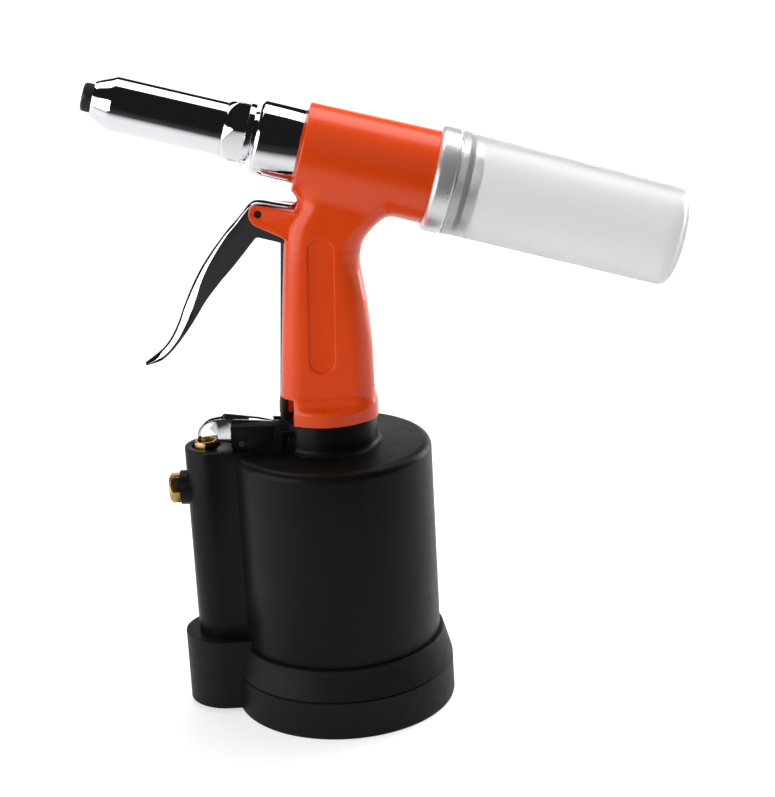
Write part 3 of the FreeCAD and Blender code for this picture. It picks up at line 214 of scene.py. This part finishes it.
BARREL_FRONT, BARREL_REAR = -6.5, 60.0
BARREL_FRONT_RADIUS, BARREL_REAR_RADIUS = 22.9, 23.7
BARREL_BORE = 17.1
GRIP_HALF = 17.0
GRIP_LOW, GRIP_HIGH = 158.8, 291.2
EAR_HALF = 9.0

# how far a skin is drawn in where another one covers it, and how far short of the turned barrel the
# blended one ends
HAIR = 0.04
END_SHY = 2.25

# the grip's front and rear edges at each height, with its half width and corner radius there
GRIP_SHAPE = np.array([
    # height, front, rear, half width, corner
    (150.0, -25.9, 23.6, 17.0, 12.0),
    (163.0, -25.0, 23.8, 17.0, 12.0),
    (176.0, -24.0, 24.2, 17.0, 12.0),
    (195.6, -22.4, 24.2, 17.0, 12.0),
    (205.2, -21.6, 23.7, 17.0, 12.0),
    (221.3, -20.3, 22.4, 17.0, 12.0),
    (230.8, -19.5, 21.0, 17.0, 12.0),
    (237.2, -18.9, 20.2, 17.0, 12.0),
    (243.5, -18.4, 20.3, 17.0, 12.2),
    (249.6, -17.8, 21.6, 17.0, 12.4),
    (252.6, -17.5, 23.2, 17.0, 12.6),
    (255.5, -17.2, 25.4, 17.0, 12.8),
    (258.3, -16.8, 28.2, 17.0, 13.0),
    (261.5, -16.2, 31.8, 17.0, 13.0),
    (266.0, -13.8, 36.0, 17.0, 13.0),
    (271.0, -10.2, 38.0, 17.0, 13.0),
    (276.0, -8.8, 39.0, 17.0, 13.0),
    (292.0, -6.0, 39.0, 17.0, 13.0),
])
BLEND = 6.0
HEART = np.array([8.0, 0.0, 277.0])


def rounded_box(a, b, half_a, half_b, corner):
    """Signed distance to a rectangle with rounded corners."""
    qa, qb = np.abs(a) - half_a + corner, np.abs(b) - half_b + corner
    outside = np.hypot(np.maximum(qa, 0), np.maximum(qb, 0))
    return outside + np.minimum(np.maximum(qa, qb), 0) - corner


def grip_distance(p):
    """Distance to a column whose cross-section at each height is a rounded rectangle."""
    z = p[..., 2]
    front, rear, half, corner = (np.interp(z, GRIP_SHAPE[:, 0], column)
                                 for column in GRIP_SHAPE[:, 1:].T)
    side = rounded_box(p[..., 0] - (front + rear) / 2, p[..., 1], (rear - front) / 2, half, corner)
    return np.maximum(side, np.abs(z - (GRIP_HIGH + GRIP_LOW) / 2) - (GRIP_HIGH - GRIP_LOW) / 2)


def barrel_distance(p):
    """Signed distance to the barrel, drawn in by a hair so that its own turned piece covers it."""
    away = p - BARREL_HEART
    place = away @ BARREL_REARWARD
    radius = np.sqrt(np.maximum((away ** 2).sum(-1) - place ** 2, 0))
    middle = (BARREL_REAR + BARREL_FRONT) / 2
    half = (BARREL_REAR - BARREL_FRONT) / 2 - END_SHY
    wall = np.interp(place, [BARREL_FRONT, BARREL_REAR], [BARREL_FRONT_RADIUS, BARREL_REAR_RADIUS])
    return np.maximum(radius - wall + HAIR, np.abs(place - middle) - half)


def blended(a, b, k):
    """The smaller of two distances, less (k - difference)^2 / 4k where they come within k."""
    near = np.maximum(k - np.abs(a - b), 0)
    return np.minimum(a, b) - near ** 2 / (4 * k)


def casting_distance(p):
    """Grip and barrel, blended where they meet."""
    return blended(grip_distance(p), barrel_distance(p), BLEND)


def foot_distance(p):
    """The round foot of the grip blended into its sides. Higher up the grip is drawn in by a hair,
    so that this piece ends inside the other one."""
    x, y, z = p[..., 0], p[..., 1], p[..., 2]
    grip = grip_distance(p) + HAIR * np.clip((z - 178.0) / 6.0, 0, 1)
    round_foot = rounded_box(np.hypot(x, y), z - 156.0, 23.8, 10.6, 2.2)
    both = blended(grip, round_foot, 7.0)
    return np.maximum(np.maximum(both, GRIP_LOW - z), z - 196.0)


def star_piece(name, heart, distance, polar, around):
    """A closed skin round a heart: a ray at each polar angle and azimuth goes out to the place
    where the distance is zero, found by halving."""
    ray = np.stack([
        np.sin(polar)[:, None] * np.cos(around)[None],
        np.sin(polar)[:, None] * np.sin(around)[None],
        np.broadcast_to(-np.cos(polar)[:, None], (len(polar), len(around))),
    ], axis=-1)
    near, far = np.zeros(ray.shape[:2]), np.full(ray.shape[:2], 140.0)
    for _ in range(40):
        middle = (near + far) / 2
        inside = distance(heart + ray * middle[..., None]) < 0
        near, far = np.where(inside, middle, near), np.where(inside, far, middle)
    points = heart + ray * near[..., None]
    points, faces = capped(points.reshape(-1, 3), len(polar), len(around))
    return outward(new_piece(name, points, faces))


def cast_core(name):
    """Grip and barrel in one skin round the heart of the casting."""
    deep = HEART[2] - GRIP_LOW
    side = np.arctan2(19.5, np.linspace(deep + 6.0, 16.0, 150))
    foot = np.linspace(0.06, 0.94, 10) * side[0]
    above = np.linspace(side[-1], np.pi - 0.02, 141)[1:]
    around = np.linspace(0, 2 * np.pi, 300, endpoint=False)
    return star_piece(name, HEART, casting_distance, np.concatenate([foot, side, above]),
                      around - 0.22 * np.sin(2 * around))


def cast_foot(name):
    """The round foot in one skin round a heart low inside it."""
    heart = np.array([0.0, 0.0, 162.0])
    under = np.linspace(0.1, 1.4, 8)
    level = np.pi / 2 + np.linspace(-0.13, 0.9, 110)
    above = np.linspace(level[-1], np.pi - 0.05, 50)[1:]
    around = np.linspace(0, 2 * np.pi, 300, endpoint=False)
    return star_piece(name, heart, foot_distance, np.concatenate([under, level, above]), around)


def block_piece(name, low, high, lean=0.0, foot=(0.0, 0.0, 0.0)):
    """A plain block used as a cutter, leaned about +Y at its foot."""
    low, high = np.array(low, float), np.array(high, float)
    corner = np.array([[i, j, k] for k in (0, 1) for j in (0, 1) for i in (0, 1)], float)
    points = low + corner * (high - low)
    turn = np.array([
        [math.cos(lean), 0, math.sin(lean)], [0, 1, 0], [-math.sin(lean), 0, math.cos(lean)],
    ])
    points = points @ turn.T + np.array(foot)
    quads = np.array([
        [0, 2, 3, 1], [4, 5, 7, 6], [0, 1, 5, 4], [2, 6, 7, 3], [0, 4, 6, 2], [1, 3, 7, 5],
    ])
    return outward(mesh_piece(name, points, quads))


def rod_piece(name, radius, start, end, columns=64):
    """A plain rod used as a cutter, from one point to another."""
    start, end = np.array(start, float), np.array(end, float)
    along = (end - start) / np.linalg.norm(end - start)
    helper = SIDEWAYS if abs(along[0]) < 0.9 else ACROSS
    first = np.cross(along, helper)
    first /= np.linalg.norm(first)
    second = np.cross(along, first)
    angle = np.linspace(0, 2 * np.pi, columns, endpoint=False)
    spoke = radius * (np.cos(angle)[:, None] * first + np.sin(angle)[:, None] * second)
    points, faces = capped(np.vstack([start + spoke, end + spoke]), 2, columns)
    return outward(new_piece(name, points, faces))


def racetrack_cutter(name, side):
    """A shallow racetrack whose flank opens outward, so that the panel's rim is eased."""
    low, high, place, radius, lean = 186.0, 256.0, -1.7, 6.6, 2.4
    count = 40
    top = np.linspace(0, np.pi, count)
    bottom = np.linspace(np.pi, 2 * np.pi, count)
    # height above the grip's side, and how much wider the racetrack is there
    layers = [
        (-0.85, -0.5), (-0.8, -0.1), (-0.6, 0.05), (-0.35, 0.1), (-0.12, 0.25), (0.0, 0.5),
        (2.0, 2.6),
    ]
    rings = []
    for height, wider in layers:
        r = radius + wider
        upper = np.stack([place + lean + r * np.cos(top), high - radius + r * np.sin(top)], axis=1)
        lower = np.stack([place + r * np.cos(bottom), low + radius + r * np.sin(bottom)], axis=1)
        edge = np.vstack([upper, lower])
        away = np.full(len(edge), side * (GRIP_HALF + height))
        rings.append(np.stack([edge[:, 0], away, edge[:, 1]], axis=1))
    points, faces = capped(np.vstack(rings), len(layers), 2 * count)
    return outward(new_piece(name, points, faces))


def flare_out(ears):
    """Widens the pair of ears towards the grip: b millimetres behind the start, each side moves
    out by slope * b^2 / (b + ease), and by no more than the most."""
    start, slope, ease, most = -27.0, 0.30, 6.0, 5.4
    points = np.empty(len(ears.data.vertices) * 3)
    ears.data.vertices.foreach_get("co", points)
    points = points.reshape(-1, 3)
    behind = np.maximum(points[:, 0] / MM - start, 0)
    wider = slope * behind ** 2 / (behind + ease)
    points[:, 1] *= 1 + np.minimum(wider, most) / EAR_HALF
    ears.data.vertices.foreach_set("co", points.ravel())


PIVOT = np.array([-29.4, 0.0, 268.5])
LINK = np.array([-16.5, 0.0, 262.2])
ROD_LEAN = math.radians(3.85)


def cast_housing():
    """Core, foot and ears are joined, the holes are cut, and the turned barrel and spigot cover it."""
    core = cast_core("orange_casting")
    barrel = turned_piece("barrel_skin", [
        (BARREL_BORE, BARREL_FRONT, 0.3), (BARREL_FRONT_RADIUS, BARREL_FRONT, 1.3),
        (BARREL_REAR_RADIUS, BARREL_REAR, 0.5), (BARREL_BORE, BARREL_REAR, 0.3),
    ], BARREL_HEART, BARREL_REARWARD, BARREL_DOWN, 240)
    bore = rod_piece("barrel_bore", BARREL_BORE, BARREL_HEART + BARREL_REARWARD * (BARREL_FRONT - 3),
                     BARREL_HEART + BARREL_REARWARD * (BARREL_REAR + 3), 240)
    collar = cast_foot("collar_skin")
    spigot = turned_piece("spigot_skin", [
        (8.6, 146.2), (18.0, 146.2, 0.5), (18.0, 160.0), (8.6, 160.0),
    ], np.zeros(3), UP, SIDEWAYS, 120)
    ears = slab_piece("ear_skin", [
        (PIVOT[0] - 5.0, PIVOT[2] - 4.8, 5.2), (PIVOT[0] + 12.6, PIVOT[2] - 13.2, 3.0),
        (PIVOT[0] + 18.5, PIVOT[2] - 19.0), (3.0, 248.0), (3.0, PIVOT[2] + 0.4),
        (PIVOT[0] + 21.0, PIVOT[2] + 0.2), (PIVOT[0] - 4.6, PIVOT[2] + 4.5, 4.5),
    ], -EAR_HALF, EAR_HALF, 0.9)
    flare_out(ears)
    whole = joined_to(core, [collar, ears], "UNION")
    turn = np.array([math.sin(ROD_LEAN), 0, math.cos(ROD_LEAN)])
    cutters = [
        bore,
        rod_piece("ram_way", 8.5, (0, 0, 140), (0, 0, 240)),
        rod_piece("oil_way", 3.0, (2, 0, 238), (2, 0, 285), 32),
        block_piece("rod_way", (-9, -2.9, 153.0 - LINK[2] - 6), (3.0, 2.9, 2), ROD_LEAN, LINK),
        block_piece("trigger_pocket", (PIVOT[0] - 12, -5.7, 249), (-9.0, 5.7, PIVOT[2] + 9)),
        block_piece("collar_notch", (-27, -18, 157.8), (-17.6, 5.6, 172.0)),
        rod_piece("pivot_hole", 2.0, PIVOT - ACROSS * 12, PIVOT + ACROSS * 12, 32),
        rod_piece("oil_hole", 2.5, (2, 0, 246), (2, 19, 246), 32),
        rod_piece("oil_seat", 4.6, (2, 16, 246), (2, 19, 246), 48),
        racetrack_cutter("near_panel", -1),
        racetrack_cutter("far_panel", 1),
    ]
    joined_to(whole, cutters, "DIFFERENCE")
    joined_to(whole, [barrel, spigot], "UNION")
    smooth_again(whole, 38)
    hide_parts("handle_housing")
    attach(whole, "gun_body")
    return whole


# ---------------------------------------------------------------- the trigger

TRIGGER_HALF, TRIGGER_WALL = 5.3, 1.2

# along the trigger, from its pivot: the finger side and the rear edge, each as rearward and up, and
# how far the round of the finger side reaches back before the flanges begin
TRIGGER_SHAPE = np.array([
    (17.2, 1.9, 17.3, -7.3, 1.3),
    (9.0, 3.6, 14.5, -13.0, 1.3),
    (2.5, 5.1, 12.1, -16.4, 1.4),
    (-2.0, 5.2, 6.5, -15.0, 1.5),
    (-5.4, 3.4, 1.0, -13.4, 1.6),
    (-8.2, 0.5, -1.6, -12.9, 1.6),
    (-12.4, -4.2, -3.6, -14.8, 1.8),
    (-18.0, -10.1, -8.5, -20.5, 2.0),
    (-24.8, -18.5, -14.5, -27.4, 2.8),
    (-30.6, -26.7, -20.2, -33.4, 3.8),
    (-35.0, -34.2, -25.9, -40.0, 5.0),
    (-38.7, -41.6, -30.2, -45.4, 7.0),
    (-41.8, -48.4, -34.6, -52.1, 8.1),
    (-44.7, -55.3, -38.8, -58.1, 7.5),
    (-48.2, -62.0, -44.5, -65.5, 6.5),
    (-52.0, -67.3, -50.0, -71.4, 6.0),
    (-57.0, -72.0, -55.4, -75.4, 3.5),
    (-63.2, -76.2, -62.6, -77.4, 1.2),
])


def smooth_line(points, count):
    """A curve through points: between two of them the Hermite cubic whose slopes are half the step
    between their neighbours."""
    slope = np.gradient(points, axis=0)
    place = np.linspace(0, len(points) - 1, count)
    step = np.minimum(place.astype(int), len(points) - 2)
    t = (place - step)[:, None]
    a, b, da, db = points[step], points[step + 1], slope[step], slope[step + 1]
    return ((2 * t ** 3 - 3 * t ** 2 + 1) * a + (t ** 3 - 2 * t ** 2 + t) * da
            + (3 * t ** 2 - 2 * t ** 3) * b + (t ** 3 - t ** 2) * db)


def pressed_trigger():
    """A bent channel: at each place along it, outer and inner half ellipses (half width * cos a
    across, round * (1 - sin a) back) run on into two flanges as far as the rear edge."""
    line = smooth_line(TRIGGER_SHAPE, 150)
    front, rear, bend = line[:, 0:2], line[:, 2:4], line[:, 4]
    back = rear - front
    depth = np.linalg.norm(back, axis=1)
    back /= depth[:, None]
    bend = np.minimum(bend, depth * 0.97)
    a = np.linspace(0, np.pi, 25)

    def half_shell(inset):
        wide = TRIGGER_HALF - inset
        skin = np.minimum(inset, depth * 0.45)
        start = np.minimum(bend + skin, depth * 0.985)
        curve = skin[:, None] + (start - skin)[:, None] * (1 - np.sin(a))
        flange = start[:, None] + (depth - start)[:, None] * np.array([1.0, 0.66, 0.33])
        away = np.hstack([flange, curve, flange[:, ::-1]])
        side = np.concatenate([[wide] * 3, wide * np.cos(a), [-wide] * 3])
        return away, np.broadcast_to(side, away.shape)

    shells = [half_shell(0.0), half_shell(TRIGGER_WALL)]
    away = np.hstack([shells[0][0], shells[1][0][:, ::-1]])
    side = np.hstack([shells[0][1], shells[1][1][:, ::-1]])
    narrow = np.interp(np.arange(len(line)), [0, 118, 149], [1, 1, 0.72])[:, None]
    flat = front[:, None, :] + away[..., None] * back[:, None, :]
    points = np.stack([PIVOT[0] + flat[..., 0], side * narrow, PIVOT[2] + flat[..., 1]], axis=-1)
    rows, columns = away.shape
    quads = grid_quads(rows, columns)
    k = np.arange(columns // 2 - 1)
    ends = [np.stack([k, k + 1, columns - 2 - k, columns - 1 - k], axis=-1) + base
            for base in (0, (rows - 1) * columns)]
    piece = outward(mesh_piece("bent_trigger", points.reshape(-1, 3), np.vstack([quads, *ends]), 50))
    smooth_again(piece, 50)
    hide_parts("trigger")
    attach(piece, "trigger")
    return piece


# ---------------------------------------------------------------- the bottle


def frosted_bottle():
    """A thin-walled bottle: outer and inner profiles carried round its own leaning axis."""
    bottle = turned_piece("frosted_bottle", [
        (24.05, 71.0, 0.4), (26.5, 71.0, 0.7), (26.5, 73.6, 0.7), (26.05, 74.4, 0.4),
        (25.15, 189.3, 6.0), (12.0, 189.3), (0.0, 189.3), (0.0, 187.3), (12.0, 187.3),
        (23.0, 187.3, 4.4), (23.9, 87.0, 0.5), (24.05, 86.0, 0.3),
    ], BOTTLE_HEART, BOTTLE_REARWARD, BOTTLE_DOWN, 200, 60)
    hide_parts("mandrel_bottle")
    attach(bottle, "bottle")
    return bottle


# ---------------------------------------------------------------- the springs


def pressed_spring(node):
    """The node's own coil as a piece of its own, fixed to the gun body; the real spring shortens by the
    joint's travel, but nothing here makes this piece shorten.
    """
    mesh = frame["nodes"][node].data.copy()
    piece = bpy.data.objects.new("pressed_" + node, mesh)
    bpy.context.scene.collection.objects.link(piece)
    smooth_again(outward(piece), 60)
    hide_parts(node)
    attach(piece, "gun_body")
    painted(piece, STEEL)
    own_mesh(piece)
    return piece


# ---------------------------------------------------------------- finishes


def finish(name, colour, metallic, roughness, grain=900.0, bump=0.05, vary=0.06, rough_vary=0.05,
           extra=None, base_scale=18.0):
    """One surface finish: a slow drift of colour, a drift of roughness and a fine grain."""
    material = bpy.data.materials.new(name)
    material.use_nodes = True
    nodes, links = material.node_tree.nodes, material.node_tree.links
    shader = nodes["Principled BSDF"]
    place = nodes.new("ShaderNodeTexCoord")

    drift = nodes.new("ShaderNodeTexNoise")
    drift.inputs["Scale"].default_value = base_scale
    drift.inputs["Detail"].default_value = 5.0
    links.new(place.outputs["Object"], drift.inputs["Vector"])
    shades = nodes.new("ShaderNodeValToRGB")
    shades.color_ramp.elements[0].position = 0.3
    shades.color_ramp.elements[1].position = 0.7
    shades.color_ramp.elements[0].color = (*[c * (1 - vary) for c in colour], 1)
    shades.color_ramp.elements[1].color = (*[min(c * (1 + vary), 1.0) for c in colour], 1)
    links.new(drift.outputs["Fac"], shades.inputs["Fac"])
    links.new(shades.outputs["Color"], shader.inputs["Base Color"])

    rub = nodes.new("ShaderNodeTexNoise")
    rub.inputs["Scale"].default_value = base_scale * 9
    rub.inputs["Detail"].default_value = 6.0
    links.new(place.outputs["Object"], rub.inputs["Vector"])
    span = nodes.new("ShaderNodeMapRange")
    span.inputs["From Min"].default_value = 0.3
    span.inputs["From Max"].default_value = 0.7
    span.inputs["To Min"].default_value = max(roughness - rough_vary, 0.0)
    span.inputs["To Max"].default_value = roughness + rough_vary
    links.new(rub.outputs["Fac"], span.inputs["Value"])
    links.new(span.outputs["Result"], shader.inputs["Roughness"])

    fine = nodes.new("ShaderNodeTexNoise")
    fine.inputs["Scale"].default_value = grain
    fine.inputs["Detail"].default_value = 3.0
    links.new(place.outputs["Object"], fine.inputs["Vector"])
    relief = nodes.new("ShaderNodeBump")
    relief.inputs["Strength"].default_value = bump
    relief.inputs["Distance"].default_value = 0.0002
    links.new(fine.outputs["Fac"], relief.inputs["Height"])
    links.new(relief.outputs["Normal"], shader.inputs["Normal"])

    shader.inputs["Metallic"].default_value = metallic
    for socket, value in (extra or {}).items():
        shader.inputs[socket].default_value = value
    return material


ORANGE = finish("orange_paint", (0.80, 0.064, 0.0030), 0.0, 0.30, grain=420, bump=0.010, vary=0.03,
                rough_vary=0.03, extra={"Coat Weight": 0.30, "Coat Roughness": 0.13,
                                        "Specular IOR Level": 0.30})
BLACK_CAST = finish("black_satin_paint", (0.0048, 0.0045, 0.0045), 0.0, 0.38, grain=1600, bump=0.10,
                    vary=0.12, rough_vary=0.04, extra={"Specular IOR Level": 0.12})
CHROME = finish("bright_plating", (0.82, 0.82, 0.85), 1.0, 0.06, grain=2600, bump=0.01, vary=0.02,
                rough_vary=0.02, base_scale=40)
STEEL = finish("bare_steel", (0.50, 0.50, 0.51), 1.0, 0.28, grain=2200, bump=0.05, vary=0.06)
DARK_STEEL = finish("blackened_steel", (0.012, 0.0115, 0.0115), 0.0, 0.34, grain=1800, bump=0.05,
                    vary=0.15, extra={"Specular IOR Level": 0.4})
ALUMINIUM = finish("turned_aluminium", (0.80, 0.80, 0.80), 0.72, 0.32, grain=1500, bump=0.03, vary=0.04)
BRASS = finish("brass", (0.60, 0.38, 0.14), 1.0, 0.26, grain=1500, bump=0.05, vary=0.10)
RUBBER = finish("moulded_rubber", (0.006, 0.0056, 0.0054), 0.0, 0.50, grain=1300, bump=0.14, vary=0.12,
                extra={"Specular IOR Level": 0.16})
SEAL = finish("seal_rubber", (0.010, 0.010, 0.010), 0.0, 0.45, grain=1500, bump=0.05)
FROSTED = finish("frosted_plastic", (0.90, 0.90, 0.905), 0.0, 0.33, grain=500, bump=0.0, vary=0.01,
                 rough_vary=0.03, extra={"Transmission Weight": 0.84, "IOR": 1.22,
                                         "Specular IOR Level": 0.35})

FINISHES = {
    "orange_casting": ORANGE, "black_casting": BLACK_CAST, "plated_steel": CHROME,
    "blackened_steel": DARK_STEEL, "steel": STEEL, "tool_steel": STEEL, "spring_steel": STEEL,
    "turned_aluminium": ALUMINIUM, "brass": BRASS, "screen_steel": STEEL, "boot_rubber": RUBBER,
    "seal_rubber": SEAL, "bottle_plastic": FROSTED,
}


def painted(piece, material):
    """Leaves the piece with this one material."""
    piece.data.materials.clear()
    piece.data.materials.append(material)
    return piece


# how far the sharp edges of some turned and cast pieces are eased, in millimetres
EASED = {"nose_sleeve": 0.25, "barrel_head": 0.25, "rear_cap": 0.25, "cylinder_body": 0.3,
         "lever": 0.15, "nosepiece": 0.15, "valve_guide": 0.15, "air_inlet": 0.15}


def dress_frame():
    """Gives each CAD piece its finish, and smooth shading that breaks at its real edges."""
    slots = {part["node"]: part["material_slot"] for part in frame["record"]["subparts"]}
    for node, piece in frame["nodes"].items():
        painted(piece, FINISHES[slots[node]])
        piece.data.shade_smooth()
        weld = piece.modifiers.new("weld", "WELD")
        weld.merge_threshold = 0.000002
        if node in EASED:
            ease = piece.modifiers.new("eased", "BEVEL")
            ease.width = EASED[node] * MM
            ease.segments = 2
            ease.limit_method = "ANGLE"
            ease.angle_limit = math.radians(25)
            ease.use_clamp_overlap = False
            ease.harden_normals = False
        split = piece.modifiers.new("edges", "EDGE_SPLIT")
        split.split_angle = math.radians(32)


dress_frame()
painted(cast_housing(), ORANGE)
painted(frosted_bottle(), FROSTED)
painted(pressed_trigger(), CHROME)
pressed_spring("return_spring")
pressed_spring("valve_spring")
painted(frame["nodes"]["trigger_rod"], DARK_STEEL)


# ---------------------------------------------------------------- floor, lights and camera


# the floor's own light as it falls on the gun and as the camera sees it, and where in front of the
# gun, in metres, it changes over
FLOOR_GLOW, FLOOR_SEEN = 0.25, 0.62
FLOOR_NEAR, FLOOR_FAR = -0.78, -0.22


def seen_or_reflected(tree, seen, reflected):
    """A factor that is one number for what the camera sees straight on and another for all the
    light that reaches the gun."""
    path = tree.nodes.new("ShaderNodeLightPath")
    choice = tree.nodes.new("ShaderNodeMapRange")
    choice.inputs["To Min"].default_value = reflected
    choice.inputs["To Max"].default_value = seen
    tree.links.new(path.outputs["Is Camera Ray"], choice.inputs["Value"])
    return choice.outputs["Result"]


def studio():
    """A pale floor and backdrop, two broad fills for the colours and four boxes for the shine."""
    floor = bpy.data.meshes.new("floor")
    reach = 7.0
    floor.from_pydata([(-reach, -reach, 0), (reach, -reach, 0), (reach, reach, 0), (-reach, reach, 0)],
                      [], [(0, 1, 2, 3)])
    ground = bpy.data.objects.new("floor", floor)
    bpy.context.scene.collection.objects.link(ground)
    paper = bpy.data.materials.new("pale_paper")
    paper.use_nodes = True
    nodes, links = paper.node_tree.nodes, paper.node_tree.links
    shader = nodes["Principled BSDF"]
    shader.inputs["Roughness"].default_value = 1.0
    shader.inputs["Specular IOR Level"].default_value = 0.0
    shader.inputs["Emission Color"].default_value = (1, 1, 1, 1)
    place = nodes.new("ShaderNodeTexCoord")
    split = nodes.new("ShaderNodeSeparateXYZ")
    links.new(place.outputs["Object"], split.inputs["Vector"])

    def along_floor(front, behind):
        """One value in front of the gun, another beside and behind it, smooth between."""
        ramp = nodes.new("ShaderNodeMapRange")
        ramp.interpolation_type = "SMOOTHSTEP"
        ramp.inputs["From Min"].default_value = FLOOR_NEAR
        ramp.inputs["From Max"].default_value = FLOOR_FAR
        ramp.inputs["To Min"].default_value = front
        ramp.inputs["To Max"].default_value = behind
        links.new(split.outputs["Y"], ramp.inputs["Value"])
        return ramp.outputs["Result"]

    path = nodes.new("ShaderNodeLightPath")
    glow = nodes.new("ShaderNodeMapRange")
    links.new(path.outputs["Is Camera Ray"], glow.inputs["Value"])
    links.new(along_floor(0.0, FLOOR_GLOW), glow.inputs["To Min"])
    links.new(along_floor(0.97, FLOOR_SEEN), glow.inputs["To Max"])
    links.new(glow.outputs["Result"], shader.inputs["Emission Strength"])
    links.new(along_floor(0.03, 0.5), shader.inputs["Base Color"])
    floor.materials.append(paper)

    world = bpy.data.worlds.new("studio")
    world.use_nodes = True
    backdrop = world.node_tree.nodes["Background"]
    backdrop.inputs["Color"].default_value = (1, 1, 1, 1)
    world.node_tree.links.new(seen_or_reflected(world.node_tree, 1.0, 0.012),
                              backdrop.inputs["Strength"])
    bpy.context.scene.world = world

    def soft_fill(name, toward, power, spread):
        """A broad light that shapes the colours but is not mirrored in the bright metal."""
        sun = bpy.data.lights.new(name, "SUN")
        sun.energy, sun.angle = power, math.radians(spread)
        lamp = bpy.data.objects.new(name, sun)
        lamp.rotation_euler = (-Vector(toward)).to_track_quat("-Z", "Y").to_euler()
        lamp.visible_glossy = False
        bpy.context.scene.collection.objects.link(lamp)

    soft_fill("overhead_fill", (0.33, 0.38, 0.865), 1.9, 50)
    soft_fill("front_fill", (0.05, -0.75, 0.65), 1.05, 70)

    def softbox(name, place, aim, width, height, power):
        """A lit rectangle that bright metal mirrors and the camera does not see."""
        light = bpy.data.lights.new(name, "AREA")
        light.shape = "RECTANGLE"
        light.size, light.size_y, light.energy = width, height, power
        lamp = bpy.data.objects.new(name, light)
        lamp.location = place
        lamp.rotation_euler = (Vector(aim) - Vector(place)).to_track_quat("-Z", "Y").to_euler()
        lamp.visible_camera = False
        bpy.context.scene.collection.objects.link(lamp)

    softbox("overhead_box", (0.50, 0.62, 1.65), (0.50, 0, 0.3), 3.0, 1.10, 26)
    softbox("left_box", (-1.25, -0.55, 0.50), (0, 0, 0.2), 1.5, 1.0, 13)
    softbox("right_box", (0.95, 0.75, 0.30), (0, 0, 0.15), 0.4, 0.8, 6)
    softbox("back_wall", (0.0, 1.9, 0.40), (0, 0, 0.3), 3.6, 0.8, 11)


# the focal length as a multiple of the sensor's width, and how far off the lens stands, in metres
FOCAL_RATIO = 2.760351
STAND_OFF = 1.13846


def camera():
    """Looks along +Y, pitched down and rolled, at a point on the gun's middle plane."""
    pitch, roll = math.radians(18.588), math.radians(-3.072)
    aim = Vector((30.33, 0, 165.12)) * MM
    forward = Vector((0, math.cos(pitch), -math.sin(pitch)))
    above = Vector((0, math.sin(pitch), math.cos(pitch)))
    right = Vector((math.cos(roll), 0, 0)) + above * math.sin(roll)
    top = Vector((-math.sin(roll), 0, 0)) + above * math.cos(roll)
    spot = aim - forward * STAND_OFF
    turn = Matrix((right, top, -forward)).transposed().to_4x4()
    lens = bpy.data.cameras.new("camera")
    lens.lens = FOCAL_RATIO * lens.sensor_width
    lens.clip_start, lens.clip_end = 0.05, 50
    view = bpy.data.objects.new("camera", lens)
    view.matrix_world = Matrix.Translation(spot) @ turn
    bpy.context.scene.collection.objects.link(view)
    bpy.context.scene.camera = view


studio()
camera()
bpy.context.scene.view_settings.view_transform = "Standard"
